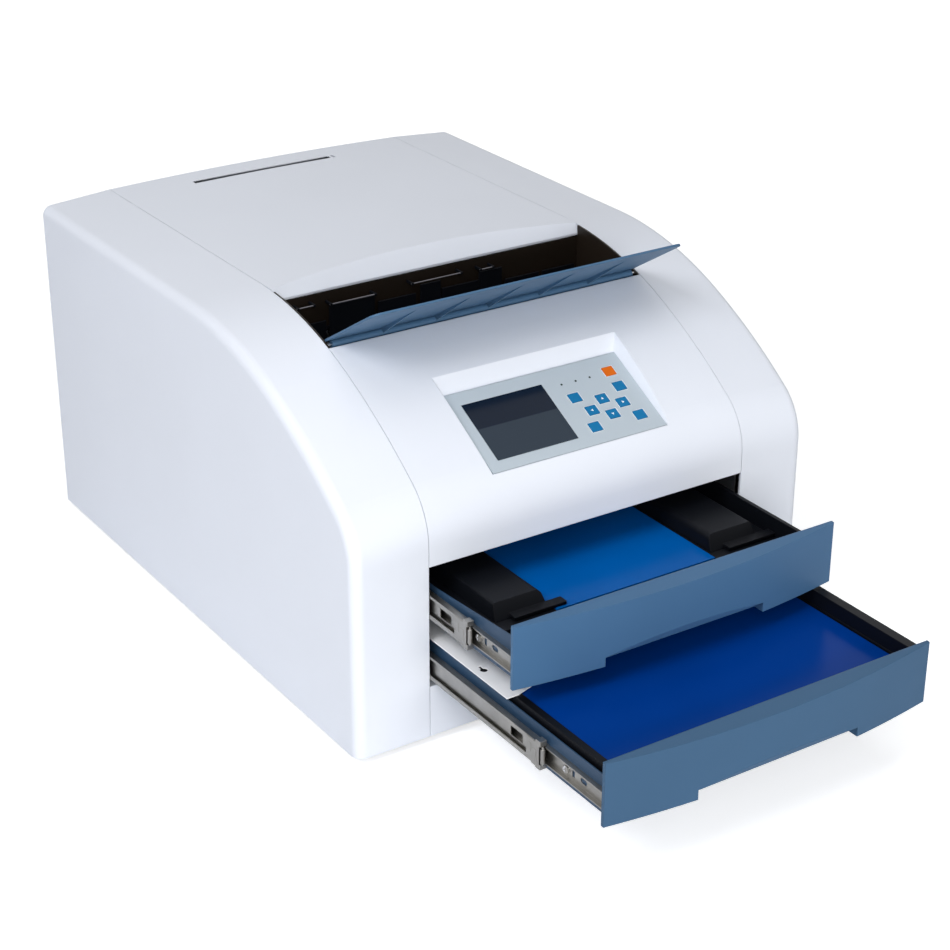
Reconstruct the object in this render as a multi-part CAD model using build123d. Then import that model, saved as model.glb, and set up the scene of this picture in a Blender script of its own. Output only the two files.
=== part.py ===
from build123d import *
import os
from math import asin, atan2, cos, degrees, hypot, radians, sin, sqrt

os.makedirs("parts", exist_ok=True)

# Driving dimensions, in millimetres and degrees. X runs across the printer, Y from the front to
# the rear and Z up. While modelling, y = 0 is the front of the casing and z = 0 its underside.

# Casing
CASE_W = 580.0
CASE_D = 725.0
CASE_TOP = 396.0
WALL = 3.0
SEAM_X = 202.0
SEAM_GAP = 0.5
SIDE_DROP = 6.5
EDGE_R = 12.0
CROWN_RISE = 3.5
ARC_RADII = (73.7, 680.0, 444.0)
ARC_END_ANGLES = (36.9, 24.0, 0.0)
OPENING_BOTTOM = 60.0
OPENING_TOP = 199.0
OPENING_HALF = SEAM_X + SEAM_GAP / 2
REAR_PANEL_T = 2.0
REAR_PANEL_INSET = 1.0
LIP = 14.0
FIT = 0.3

# Film exit slot, its duct and flap
SLOT_FRONT_Y = 192.0
SLOT_REAR_Y = 310.0
TOP_COVER_DIP = 10.5
DIP_DEPTH_MIDDLE = 31.0
DIP_DEPTH_END = 5.0
DUCT_WALL = 1.9
DUCT_BOTTOM = 292.0
FLAP_T = 2.5
FLAP_PIN_R = 1.5
FLAP_BARREL_R = 4.8
FLAP_BARREL_SETBACK = 5.0
FLAP_PIN_DEPTH = 3.0
FLAP_PLATE_DROP = 4.5
FLAP_TIP_SINK = 5.0
FLAP_TIP_GAP = 1.7
PIN_CLEAR = 0.06
FLAP_PIN_SETBACK = 8.2
FLAP_TIP_INSET = 3.0
FLAP_CORNER_R = 11.0
FLAP_OPEN_ELEVATION = 31.7
FLAP_RIB_COUNT = 5
FLAP_RIB_PITCH = 66.5
FLAP_RIB_T = 2.0
FLAP_RIB_H = 5.5
FLAP_RIB_START = 3.0
FLAP_RIB_LENGTH = 83.0

# Control panel
PANEL_W = 223.0
PANEL_L = 109.0
PANEL_T = 2.0
PANEL_ANGLE = 27.4
PANEL_FRONT_Y = 20.0
RECESS_DEPTH = 14.0
RECESS_SIDE_FLARE = 6.5
RECESS_TOP_FLARE = 18.0
LEDGE = 7.0
SCREEN_W = 101.6
SCREEN_L = 78.0
SCREEN_X = -46.7
SCREEN_FROM_FRONT = 53.0
KEY_W = 13.5
KEY_L = 12.0
KEY_RISE = 0.5
KEY_TRAVEL = 0.8
KEY_PITCH = 20.2
KEY_ROW = 11.1
KEY_CENTRE_X = 60.2
KEY_CENTRE_V = 43.0
LAMP_R = 1.2
LAMP_PITCH = 18.5
LAMP_FIRST_X = 26.2
LAMP_V = 85.0
BOARD_T = 1.6
BOARD_DEPTH = 9.0

# Drawers
UPPER_OUT = 150.0
LOWER_OUT = 300.0
FASCIA_HALF = 202.5
FASCIA_H = 70.0
FASCIA_GAP = 1.0
FASCIA_T = 4.0
FASCIA_WALL = 3.0
FASCIA_BOW = 16.5
FASCIA_BOSS_X = 150.0
FASCIA_BOSS_Z = 26.0
FACET_START = 2.0
FACET_DROP = 3.0
NOTCH_HALF = 100.5
NOTCH_H = 11.0
NOTCH_LIP_H = 8.0
NOTCH_LIP_D = 3.8
SHEET = 1.2
TRAY_DEPTH = 472.0
TRAY_FLOOR_UP = 2.5
TRAY_LEFT_H = 42.0
UPPER_LEFT_FRONT_H = 47.0
UPPER_LEFT_REAR_H = 36.0
TRAY_FLANGE_INSET = 1.5
TRAY_FLANGE_Z = (14.0, 63.0)
LOWER_RIGHT_H = 64.0
UPPER_RIGHT_H = 44.0
TRAY_REAR_H = 21.0
FILM_UP = 49.0
FILM_STACK = 20.0
LARGE_FILM_W = 355.6
LARGE_FILM_L = 431.8
SMALL_FILM_UP = 27.3
SMALL_FILM_STACK = 10.0
SMALL_FILM_W = 203.2
SMALL_FILM_L = 254.0
FILM_CLEAR = 1.2
CASSETTE_HALF = 187.0
CASSETTE_WALL = 4.0
RIM_UP = 2.0
DECK_FRONT_SETBACK = 58.0
DECK_T = 11.0
DECK_LENGTH = 400.0
GUIDE_H = 17.0
GUIDE_W = 63.4
GUIDE_L = 130.0
GUIDE_SETBACK = 18.0
GUIDE_TAPER = 3.4
GUIDE_FRONT_TAPER = 9.5
GUIDE_SHOULDER_R = 7.0
GUIDE_BAR_SHIFT = 18.0
GUIDE_BAR_D = 9.0
GUIDE_BAR_T = 3.2
GUIDE_BAR_UP = 0.6
HOLD_PLATE_W = 47.0
HOLD_PLATE_L = 320.0
HOLD_PLATE_SETBACK = 166.0
KEYHOLE_R = 4.0

# Ball-bearing slides
SLIDE_LENGTH = 500.0
SLIDE_T = 12.7
SLIDE_METAL = 1.2
SLIDE_UP = 21.5
CABINET_H = 35.0
MIDDLE_H = 27.0
DRAWER_MEMBER_H = 19.0
UPPER_MIDDLE_OUT = 67.0
LOWER_MIDDLE_OUT = 194.0
SCREW_BACK = 66.8
SLOT_BACK = 56.3
HOLE_BACK = 39.8
WINDOW_BACK = 42.0
WINDOW_L = 20.6
WINDOW_H = 10.0
SLIDE_START = 10.0

# Chassis and base
BASE_T = 1.5
CHASSIS_T = 1.5
CHASSIS_X = SEAM_X + 2.0
FOOT_R = 15.0
FOOT_H = 8.0
FOOT_INSET = 45.0

# Film transport and electrics
SHAFT_R = 4.0
PICKUP_R = 8.0
PICKUP_W = 60.0
PLATEN_R = 12.0
PLATEN_Y = CASE_D - 150.0
PLATEN_Z = 300.0
HEAD_L = 380.0
HEAD_D = 34.0
HEAD_H = 24.0
HEAD_FIN_H = 8.0
HEAD_FINS = 5
MOTOR_Y = CASE_D - 225.0
MOTOR_Z = 225.0
MOTOR_SIDE = 56.0
PULLEY_R = 14.0
MOTOR_PULLEY_R = 7.0
BELT_T = 1.6
BELT_W = 8.0
FAN_SIDE = 80.0
FAN_X = -110.0
FAN_Z = 300.0
INLET_X = CASE_W / 2 - 52.0
INLET_Z = 45.0

BUSH_R = SHAFT_R + 3
CASE_HALF = CASE_W / 2
TRAY_HALF = CHASSIS_X - SLIDE_T
COVER_HALF = SEAM_X - SEAM_GAP / 2
COVER_REAR = CASE_D - REAR_PANEL_T
CURVE_HEIGHTS = [
    radius * (cos(radians(end)) - cos(radians(start)))
    for radius, start, end in zip(ARC_RADII, (90.0,) + ARC_END_ANGLES, ARC_END_ANGLES)
]
CURVE_START_Z = CASE_TOP - sum(CURVE_HEIGHTS)
LOWER_BOTTOM = OPENING_BOTTOM + FASCIA_GAP
UPPER_BOTTOM = LOWER_BOTTOM + FASCIA_H + FASCIA_GAP
FRONT_REACH = LOWER_OUT + FASCIA_BOW
SOCKET_OUT = 3.0
SHIFT_Y = (FRONT_REACH - CASE_D - SOCKET_OUT) / 2
SHIFT_Z = FOOT_H

nodes = {}


def keep(name, *solids):
    """Move the solids of one node from casing coordinates to the printer's own frame."""
    nodes[name] = [Pos(0, SHIFT_Y, SHIFT_Z) * solid for solid in solids]


def block(x0, x1, y0, y1, z0, z1):
    """A box between two opposite corners."""
    return Pos((x0 + x1) / 2, (y0 + y1) / 2, (z0 + z1) / 2) * Box(abs(x1 - x0), abs(y1 - y0), abs(z1 - z0))


def rod_x(x0, x1, y, z, radius):
    """A round bar along X."""
    return Pos((x0 + x1) / 2, y, z) * Rot(0, 90, 0) * Cylinder(radius, abs(x1 - x0))


def rod_y(x, y0, y1, z, radius):
    """A round bar along Y."""
    return Pos(x, (y0 + y1) / 2, z) * Rot(90, 0, 0) * Cylinder(radius, abs(y1 - y0))


def rod_z(x, y, z0, z1, radius):
    """A round bar along Z."""
    return Pos(x, y, (z0 + z1) / 2) * Cylinder(radius, abs(z1 - z0))


def both_sides(solid):
    """A solid and its mirror image on the other side of the printer."""
    return [solid, mirror(solid, Plane.YZ)]


def yz_prism(points, x0, x1):
    """A straight-sided prism from points in a YZ plane."""
    wire = Wire.make_polygon([(x0, y, z) for y, z in points], close=True)
    return Solid.extrude(Face(wire), Vector(x1 - x0, 0, 0))


def xy_prism(points, z0, z1):
    """A straight-sided prism from points in an XY plane."""
    wire = Wire.make_polygon([(x, y, z0) for x, y in points], close=True)
    return Solid.extrude(Face(wire), Vector(0, 0, z1 - z0))


# The curved front of the casing: three arcs, each tangent to the next


def front_arcs(inset):
    """Start, middle and end of each arc of the curved front, set in from the outer skin."""
    arcs = []
    y, z, heading = inset, CURVE_START_Z, 90.0
    for radius, end_heading in zip(ARC_RADII, ARC_END_ANGLES):
        r = radius - inset
        centre_y = y + r * sin(radians(heading))
        centre_z = z - r * cos(radians(heading))
        middle_heading = (heading + end_heading) / 2
        middle = (centre_y - r * sin(radians(middle_heading)), centre_z + r * cos(radians(middle_heading)))
        end = (centre_y - r * sin(radians(end_heading)), centre_z + r * cos(radians(end_heading)))
        arcs.append(((y, z), middle, end))
        y, z = end
        heading = end_heading
    return arcs


def skin_z(y):
    """Height of the outer skin above a point y behind the front."""
    arc_y, arc_z, heading = 0.0, CURVE_START_Z, 90.0
    for radius, end_heading in zip(ARC_RADII, ARC_END_ANGLES):
        centre_y = arc_y + radius * sin(radians(heading))
        centre_z = arc_z - radius * cos(radians(heading))
        end_y = centre_y - radius * sin(radians(end_heading))
        if y <= end_y:
            return centre_z + sqrt(radius**2 - (centre_y - y) ** 2)
        arc_y = end_y
        arc_z = centre_z + radius * cos(radians(end_heading))
        heading = end_heading
    return CASE_TOP


def case_profile(inset, rear, bottom, x):
    """Side view of the casing as a face at x, set in from the outer skin."""
    edges = [Line((x, inset, bottom), (x, inset, CURVE_START_Z))]
    arcs = front_arcs(inset)
    for start, middle, end in arcs:
        edges.append(ThreePointArc((x, *start), (x, *middle), (x, *end)))
    top_y, top_z = arcs[-1][2]
    edges.append(Line((x, top_y, top_z), (x, rear, top_z)))
    edges.append(Line((x, rear, top_z), (x, rear, bottom)))
    edges.append(Line((x, rear, bottom), (x, inset, bottom)))
    return Face(Wire(edges))


def case_solid(inset, rear, bottom, x0, x1):
    """The casing's side view carried straight across from x0 to x1."""
    return Solid.extrude(case_profile(inset, rear, bottom, x0), Vector(x1 - x0, 0, 0))


# Side covers: each wraps one side and falls away a little towards its rounded outer edge


def side_shape(inset, start_x, end_x, rear, bottom, radius):
    """The side cover's filled shape, set in from its outer skin."""
    slope = SIDE_DROP / (CASE_HALF - OPENING_HALF)
    face = Pos(0, 0, (OPENING_HALF - start_x) * slope) * case_profile(inset, rear, bottom, start_x)
    shape = Solid.extrude(face, Vector(end_x - start_x, 0, (start_x - end_x) * slope))
    outer = [
        edge
        for edge in shape.edges()
        if abs(edge.center().X - end_x) < 0.01 and edge.center().Y < rear - 1 and edge.center().Z > bottom + 5
    ]
    return fillet(outer, radius)


def side_cover():
    outside = side_shape(0, OPENING_HALF, CASE_HALF, COVER_REAR, 0, EDGE_R)
    inside = side_shape(WALL, OPENING_HALF - 1, CASE_HALF - WALL, COVER_REAR + WALL, -4 * SIDE_DROP, EDGE_R - WALL)
    shell = outside - inside
    return shell - block(0, CASE_W, -CASE_D, 2 * CASE_D, -CASE_D, 0)


right_cover = side_cover()
keep("right_side_cover", right_cover)
keep("left_side_cover", mirror(right_cover, Plane.YZ))


# Top cover: a crowned lid, dipped along its front edge for the fingers, with a slot near the rear

CROWN_R = (COVER_HALF**2 + CROWN_RISE**2) / (2 * CROWN_RISE)
REAR_SLOT_Y = CASE_D - 40.0
REAR_SLOT_W = 9.0
REAR_SLOT_X0 = -107.0
REAR_SLOT_X1 = 84.0
REAR_SLIT_X1 = 91.0
REAR_SLOT_BRIDGE = 3.0
REAR_SLOT_EDGE = 0.8
REAR_SLOT_RELIEF = 8.0


def crown_z(x):
    """Height of the top cover's crowned skin."""
    return CASE_TOP + CROWN_RISE - CROWN_R + sqrt(CROWN_R**2 - x**2)


def dip_section(x):
    """The wedge cut from the front edge at x, as a triangle."""
    share = 1 - (x / COVER_HALF) ** 2
    depth = DIP_DEPTH_END + (DIP_DEPTH_MIDDLE - DIP_DEPTH_END) * max(share, 0)
    front = SLOT_REAR_Y - 1
    drop = (CASE_TOP - TOP_COVER_DIP) - (crown_z(x) - CASE_TOP + TOP_COVER_DIP) / depth
    return Face(
        Wire.make_polygon(
            [(x, front, drop), (x, SLOT_REAR_Y + depth, crown_z(x) + 0.02), (x, front, crown_z(x) + 20)], close=True
        )
    )


def top_cover():
    y0, y1 = SLOT_REAR_Y, COVER_REAR
    half, low = COVER_HALF, CASE_TOP - 30
    edges = [
        Line((-half, y0, low), (half, y0, low)),
        Line((half, y0, low), (half, y0, CASE_TOP)),
        ThreePointArc((half, y0, CASE_TOP), (0, y0, CASE_TOP + CROWN_RISE), (-half, y0, CASE_TOP)),
        Line((-half, y0, CASE_TOP), (-half, y0, low)),
    ]
    body = Solid.extrude(Face(Wire(edges)), Vector(0, y1 - y0, 0))
    stations = (-half, -half * 0.5, 0, half * 0.5, half)
    body -= loft([dip_section(x) for x in stations])
    skin = body - Pos(0, 0, -WALL) * body
    for x in (-half, half - WALL):
        skin += block(x, x + WALL, SLOT_REAR_Y + 40, y1, CASE_TOP - LIP, CASE_TOP - WALL + 0.5)
    skin += block(-half, half, y1 - WALL, y1, CASE_TOP - LIP, CASE_TOP - WALL + 0.5)
    slot_low, slot_high = CASE_TOP - LIP, CASE_TOP + 2 * CROWN_RISE
    y_low, y_high = REAR_SLOT_Y - REAR_SLOT_W / 2, REAR_SLOT_Y + REAR_SLOT_W / 2
    skin -= block(REAR_SLOT_X0, REAR_SLOT_X1, y_low, y_high, slot_low, slot_high)
    skin -= block(REAR_SLOT_X1 + REAR_SLOT_BRIDGE, REAR_SLIT_X1, y_low, y_high, slot_low, slot_high)
    relief_top = crown_z(REAR_SLOT_X0) - REAR_SLOT_EDGE
    skin -= block(REAR_SLOT_X0, REAR_SLIT_X1, y_low, y_high + REAR_SLOT_RELIEF, slot_low, relief_top)
    return skin


keep("top_cover", top_cover())


# Control panel recess: the panel lies in a plane that meets the skin at its front edge

PANEL_ORIGIN = Vector(0, PANEL_FRONT_Y, skin_z(PANEL_FRONT_Y) - 0.3)
panel_plane = Plane(
    origin=PANEL_ORIGIN,
    x_dir=(1, 0, 0),
    z_dir=(0, -sin(radians(PANEL_ANGLE)), cos(radians(PANEL_ANGLE))),
)


def on_panel(solid):
    """Place a solid drawn flat: x across, y up the panel from its front edge, z out of it."""
    return panel_plane.location * solid


def recess_shape(grow):
    """The flared pocket above the panel, grown by a wall."""
    half = PANEL_W / 2 + 0.5 + grow
    front, rear = -0.5 - grow, PANEL_L + 0.5 + grow
    depth_low = -PANEL_T - grow
    base = Wire.make_polygon(
        [(-half, front, depth_low), (half, front, depth_low), (half, rear, depth_low), (-half, rear, depth_low)],
        close=True,
    )
    flare_x = RECESS_SIDE_FLARE
    top = Wire.make_polygon(
        [
            (-half - flare_x, front, RECESS_DEPTH),
            (half + flare_x, front, RECESS_DEPTH),
            (half + flare_x, rear + RECESS_TOP_FLARE, RECESS_DEPTH),
            (-half - flare_x, rear + RECESS_TOP_FLARE, RECESS_DEPTH),
        ],
        close=True,
    )
    return on_panel(loft([Face(base), Face(top)], ruled=True))


def front_cover():
    half = COVER_HALF
    far = CASE_D
    outer = case_solid(0, far, 0, -half, half)
    inner = case_solid(WALL, far + 1, -1, -half - 1, half + 1)
    keep_zone = block(-half, half, -1, SLOT_FRONT_Y, OPENING_TOP, CASE_TOP)
    skin = (outer - inner) & keep_zone
    lower_lip = block(-half, half, 0.5, LIP, OPENING_TOP, OPENING_TOP + WALL)
    lip_top = skin_z(SLOT_FRONT_Y)
    slot_lip = block(-half, half, SLOT_FRONT_Y - WALL, SLOT_FRONT_Y, lip_top - LIP, lip_top - 1.5)
    pan = (recess_shape(WALL) & outer) & keep_zone
    cover = skin + lower_lip + slot_lip + pan
    cover -= recess_shape(0)
    window = block(
        -PANEL_W / 2 + LEDGE, PANEL_W / 2 - LEDGE, LEDGE, PANEL_L - LEDGE, -PANEL_T - 3 * WALL, RECESS_DEPTH
    )
    return cover - on_panel(window)


keep("front_cover", front_cover())


# Lower front strip under the drawers

strip = block(-COVER_HALF, COVER_HALF, 0, WALL, 0, OPENING_BOTTOM)
strip += block(-COVER_HALF, COVER_HALF, WALL - 0.5, LIP, OPENING_BOTTOM - WALL, OPENING_BOTTOM)
keep("lower_front_strip", strip)


# Rear panel: folded sheet steel, with vents, a fan grille and the sockets' cut-outs

VENT_W = 3.0
VENT_L = 60.0
VENT_PITCH = 9.0
VENT_COUNT = 12
VENT_X = -180.0
VENT_Z = 70.0
SWITCH_X = CASE_HALF - 94.0
SWITCH_W = 14.0
SWITCH_H = 21.0
INLET_W = 28.0
INLET_H = 21.0
PORT_X = CHASSIS_X + 22.0
PORT_Z = (180.0, 214.0, 248.0)
PORT_W = 15.0
PORT_H = 16.0


def rear_panel():
    half = CASE_HALF - REAR_PANEL_INSET
    side_z = CASE_TOP - SIDE_DROP - REAR_PANEL_INSET
    seam_z = CASE_TOP - REAR_PANEL_INSET
    points = [(-half, 0), (half, 0), (half, side_z), (SEAM_X, seam_z), (-SEAM_X, seam_z), (-half, side_z)]
    wire = Wire.make_polygon([(x, COVER_REAR, z) for x, z in points], close=True)
    panel = Solid.extrude(Face(wire), Vector(0, REAR_PANEL_T, 0))
    corners = [
        edge
        for edge in panel.edges()
        if abs(abs(edge.center().X) - half) < 0.1 and abs(edge.center().Z - side_z) < 0.1
    ]
    panel = fillet(corners, EDGE_R)
    y0, y1 = COVER_REAR - 1, CASE_D + 1
    for index in range(VENT_COUNT):
        x = VENT_X + index * VENT_PITCH
        panel -= block(x - VENT_W / 2, x + VENT_W / 2, y0, y1, VENT_Z, VENT_Z + VENT_L)
    panel -= rod_y(FAN_X, y0, y1, FAN_Z, FAN_SIDE / 2 - 4) - grille_bars(y0, y1)
    panel -= block(INLET_X - INLET_W / 2, INLET_X + INLET_W / 2, y0, y1, INLET_Z - INLET_H / 2, INLET_Z + INLET_H / 2)
    panel -= block(
        SWITCH_X - SWITCH_W / 2, SWITCH_X + SWITCH_W / 2, y0, y1, INLET_Z - SWITCH_H / 2, INLET_Z + SWITCH_H / 2
    )
    for z in PORT_Z:
        panel -= block(PORT_X - PORT_W / 2, PORT_X + PORT_W / 2, y0, y1, z - PORT_H / 2, z + PORT_H / 2)
    return panel


def grille_bars(y0, y1):
    """Rings and spokes that stay across the fan's opening."""
    bars = block(FAN_X - 1.5, FAN_X + 1.5, y0, y1, FAN_Z - FAN_SIDE / 2, FAN_Z + FAN_SIDE / 2)
    bars += block(FAN_X - FAN_SIDE / 2, FAN_X + FAN_SIDE / 2, y0, y1, FAN_Z - 1.5, FAN_Z + 1.5)
    for radius in (10.0, 19.0, 28.0):
        bars += rod_y(FAN_X, y0, y1, FAN_Z, radius + 1.2) - rod_y(FAN_X, y0 - 1, y1 + 1, FAN_Z, radius - 1.2)
    return bars


keep("rear_panel", rear_panel())


# Base plate, feet, chassis walls and cross members

BASE_HALF = CASE_HALF - WALL
base = block(-BASE_HALF, BASE_HALF, WALL, COVER_REAR, 0, BASE_T)
base = fillet(base.edges().filter_by(Axis.Z).group_by(Axis.Y)[0], EDGE_R - WALL)
keep("base_plate", base)
feet = []
for foot_x in (-CASE_HALF + FOOT_INSET, CASE_HALF - FOOT_INSET):
    for foot_y in (FOOT_INSET, CASE_D - FOOT_INSET):
        foot = rod_z(foot_x, foot_y, -FOOT_H, 0, FOOT_R)
        feet.append(fillet(foot.edges().group_by(Axis.Z)[0], 2.0))
keep("rubber_feet", *feet)

CHASSIS_FRONT = 12.0
CHASSIS_REAR = CASE_D - 25.0
CHASSIS_OUTLINE = (
    (CHASSIS_FRONT, BASE_T),
    (CHASSIS_FRONT, 214.0),
    (110.0, 300.0),
    (190.0, 350.0),
    (300.0, 374.0),
    (CHASSIS_REAR, CASE_TOP - LIP - 2),
    (CHASSIS_REAR, BASE_T),
)


def chassis_wall():
    wall = yz_prism(CHASSIS_OUTLINE, CHASSIS_X, CHASSIS_X + CHASSIS_T)
    wall += block(CHASSIS_X, CHASSIS_X + LIP, CHASSIS_FRONT, CHASSIS_REAR, BASE_T, BASE_T + CHASSIS_T)
    return wall - rod_x(CHASSIS_X - 1, CHASSIS_X + 3, PLATEN_Y, PLATEN_Z, BUSH_R)


def cross_member(y0, z0, width, height):
    """An upturned channel of sheet steel between the chassis walls."""
    t = CHASSIS_T
    channel = block(-CHASSIS_X, CHASSIS_X, y0, y0 + width, z0, z0 + t)
    channel += block(-CHASSIS_X, CHASSIS_X, y0, y0 + t, z0, z0 + height)
    channel += block(-CHASSIS_X, CHASSIS_X, y0 + width - t, y0 + width, z0, z0 + height)
    return channel


MEMBER_W = 26.0
MEMBER_H = 12.0
front_member = cross_member(LIP, OPENING_TOP, MEMBER_W, MEMBER_H)
duct_front_member = cross_member(SLOT_FRONT_Y, DUCT_BOTTOM - MEMBER_H, MEMBER_W, MEMBER_H)
duct_rear_member = cross_member(SLOT_REAR_Y - MEMBER_W, DUCT_BOTTOM - MEMBER_H, MEMBER_W, MEMBER_H)
rear_member = cross_member(
    CHASSIS_REAR - MEMBER_W, CASE_TOP - LIP - 2 - MEMBER_H, MEMBER_W, MEMBER_H
)
beam_y = PLATEN_Y - HEAD_D / 2
beam_z = PLATEN_Z + PLATEN_R + FIT + HEAD_H
head_beam = block(-CHASSIS_X, CHASSIS_X, beam_y, beam_y + HEAD_D, beam_z, beam_z + CHASSIS_T)
head_beam += block(-CHASSIS_X, CHASSIS_X, beam_y, beam_y + CHASSIS_T, beam_z, beam_z + MEMBER_H)
frame_members = [front_member, duct_front_member, duct_rear_member, rear_member, head_beam]
keep("chassis_frame", *both_sides(chassis_wall()), *frame_members)


# Film exit duct: a black box around the slot, whose side walls carry the flap's pins

DUCT_IN = SEAM_X - SEAM_GAP / 2 - DUCT_WALL
FLAP_PIN_Y = SLOT_FRONT_Y + FLAP_PIN_SETBACK
FLAP_PIN_Z = skin_z(FLAP_PIN_Y) - FLAP_PIN_DEPTH
DUCT_REAR_Y = SLOT_REAR_Y + 2 - DUCT_WALL


def exit_duct():
    under = case_solid(FIT, CASE_D, 0, -CASE_HALF, CASE_HALF)
    y0, y1 = SLOT_FRONT_Y + FIT, SLOT_REAR_Y + 2
    walls = []
    for side in (-1, 1):
        wall = block(side * DUCT_IN, side * (DUCT_IN + DUCT_WALL), y0 + 1.5, y1 - 2.3, DUCT_BOTTOM, CASE_TOP) & under
        wall -= rod_x(side * (DUCT_IN - 1), side * (DUCT_IN + 3), FLAP_PIN_Y, FLAP_PIN_Z, FLAP_PIN_R)
        walls.append(wall)
    front_top = FLAP_PIN_Z - FLAP_PIN_SETBACK - 5
    front = block(-DUCT_IN - DUCT_WALL, DUCT_IN + DUCT_WALL, y0, y0 + DUCT_WALL, DUCT_BOTTOM, front_top)
    rear_top = CASE_TOP - TOP_COVER_DIP - WALL - 1.0
    rear = block(-DUCT_IN - DUCT_WALL, DUCT_IN + DUCT_WALL, DUCT_REAR_Y, y1, DUCT_BOTTOM + 45, rear_top)
    return walls[0] + walls[1] + front + rear


keep("exit_duct", exit_duct())

GUIDE_PLATE_Y = SLOT_REAR_Y - 7.0
GUIDE_PLATE_T = 2.0
GUIDE_PLATES = (
    (-190.0, -143.0, 352.0),
    (-138.0, -81.0, 368.4),
    (-76.0, -27.5, 360.0),
    (-21.0, 5.5, 368.5),
    (7.0, 56.5, 358.5),
    (57.5, 88.0, 368.0),
    (93.0, 140.0, 352.0),
    (145.0, 190.0, 352.0),
)
EXIT_ROD_R = 0.8
EXIT_LUG_H = 2.8
EXIT_ROD_Y = SLOT_REAR_Y - 11.0
EXIT_RODS = ((-180.0, -157.0, 373.5), (-139.0, -80.0, 370.5), (-35.0, 33.0, 373.0), (56.0, 76.0, 371.5))
guide_plates = []
for left, right, top in GUIDE_PLATES:
    finger = block(left, right, GUIDE_PLATE_Y - GUIDE_PLATE_T, GUIDE_PLATE_Y, DUCT_BOTTOM, top)
    finger += block(left, right, GUIDE_PLATE_Y - GUIDE_PLATE_T, DUCT_REAR_Y, DUCT_BOTTOM + 46, DUCT_BOTTOM + 50)
    guide_plates.append(finger)
exit_rods = []
for left, right, rod_z_mid in EXIT_RODS:
    exit_rods.append(rod_x(left, right, EXIT_ROD_Y, rod_z_mid, EXIT_ROD_R))
    for lug_x in (left + 1.5, right - 1.5):
        lug_bottom = rod_z_mid - EXIT_LUG_H / 2
        lug = block(lug_x - 1, lug_x + 1, EXIT_ROD_Y - 2, DUCT_REAR_Y, lug_bottom, lug_bottom + EXIT_LUG_H)
        guide_plates.append(lug - exit_rods[-1])
keep("exit_guide_plates", *guide_plates)
keep("exit_guide_rods", *exit_rods)


# Exit flap, drawn closed: a flat plate sunk under the opening, hanging below a full-width hinge
# barrel, its gussets no higher than the casing's skin. It is then turned open about its pins.

FLAP_HALF = DUCT_IN - FIT
FLAP_TIP_Y = SLOT_REAR_Y - FLAP_TIP_GAP
plate_root_z = FLAP_PIN_Z - FLAP_PLATE_DROP
plate_tip_z = skin_z(FLAP_TIP_Y) - FLAP_TIP_SINK
plate_slope = (plate_tip_z - plate_root_z) / (FLAP_TIP_Y - FLAP_PIN_Y)
FLAP_SWING = 180.0 - FLAP_OPEN_ELEVATION - degrees(atan2(plate_slope, 1.0))


def plate_z(y):
    """Height of the closed flap's outer face."""
    return plate_root_z + (y - FLAP_PIN_Y) * plate_slope


def flap_outline():
    """Plan of the closed flap, narrower towards its free edge."""
    tip_half = FLAP_HALF - FLAP_TIP_INSET
    points = [
        (-FLAP_HALF, FLAP_PIN_Y),
        (FLAP_HALF, FLAP_PIN_Y),
        (tip_half, FLAP_TIP_Y),
        (-tip_half, FLAP_TIP_Y),
    ]
    plan = xy_prism(points, DUCT_BOTTOM, CASE_TOP)
    tips = [edge for edge in plan.edges() if abs(edge.center().Y - FLAP_TIP_Y) < 0.1 and abs(edge.center().X) > 10]
    return fillet(tips, FLAP_CORNER_R)


def flap_ribs():
    """Gussets on the outer face, highest at the barrel and running out towards the tip."""
    ribs = []
    first = -(FLAP_RIB_COUNT - 1) / 2 * FLAP_RIB_PITCH
    rib_front = FLAP_PIN_Y + FLAP_RIB_START
    rib_rear = rib_front + FLAP_RIB_LENGTH
    for index in range(FLAP_RIB_COUNT):
        x = first + index * FLAP_RIB_PITCH
        points = [
            (rib_front, plate_z(rib_front) - FLAP_T / 2),
            (rib_front, plate_z(rib_front) + FLAP_RIB_H),
            (rib_rear, plate_z(rib_rear)),
            (rib_rear, plate_z(rib_rear) - FLAP_T / 2),
        ]
        ribs.append(yz_prism(points, x - FLAP_RIB_T / 2, x + FLAP_RIB_T / 2))
    return ribs


def flap_turned(solid):
    """Swing a solid of the closed flap to where the flap stands open."""
    pivot = Pos(0, FLAP_PIN_Y, FLAP_PIN_Z)
    return pivot * Rot(FLAP_SWING, 0, 0) * Pos(0, -FLAP_PIN_Y, -FLAP_PIN_Z) * solid


def exit_flap():
    section = [
        (FLAP_PIN_Y, plate_z(FLAP_PIN_Y)),
        (FLAP_TIP_Y, plate_z(FLAP_TIP_Y)),
        (FLAP_TIP_Y, plate_z(FLAP_TIP_Y) - FLAP_T),
        (FLAP_PIN_Y, plate_z(FLAP_PIN_Y) - FLAP_T),
    ]
    flap = yz_prism(section, -FLAP_HALF, FLAP_HALF) & flap_outline()
    barrel_half = FLAP_HALF - FLAP_BARREL_SETBACK
    flap += rod_x(-barrel_half, barrel_half, FLAP_PIN_Y, FLAP_PIN_Z, FLAP_BARREL_R)
    for rib in flap_ribs():
        flap += rib
    for side in (-1, 1):
        hole_x = side * (FLAP_HALF - 12.1)
        flap -= rod_x(hole_x, side * (FLAP_HALF + 1), FLAP_PIN_Y, FLAP_PIN_Z, FLAP_PIN_R + PIN_CLEAR)
    return flap_turned(flap)


keep("exit_flap", exit_flap())
flap_pins = [
    rod_x(side * (FLAP_HALF - 12), side * (DUCT_IN + DUCT_WALL - 0.1), FLAP_PIN_Y, FLAP_PIN_Z, FLAP_PIN_R)
    for side in (-1, 1)
]
keep("flap_pins", *flap_pins)


# Control panel: plate, display, keys, indicator lights and the key board under it

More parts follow.
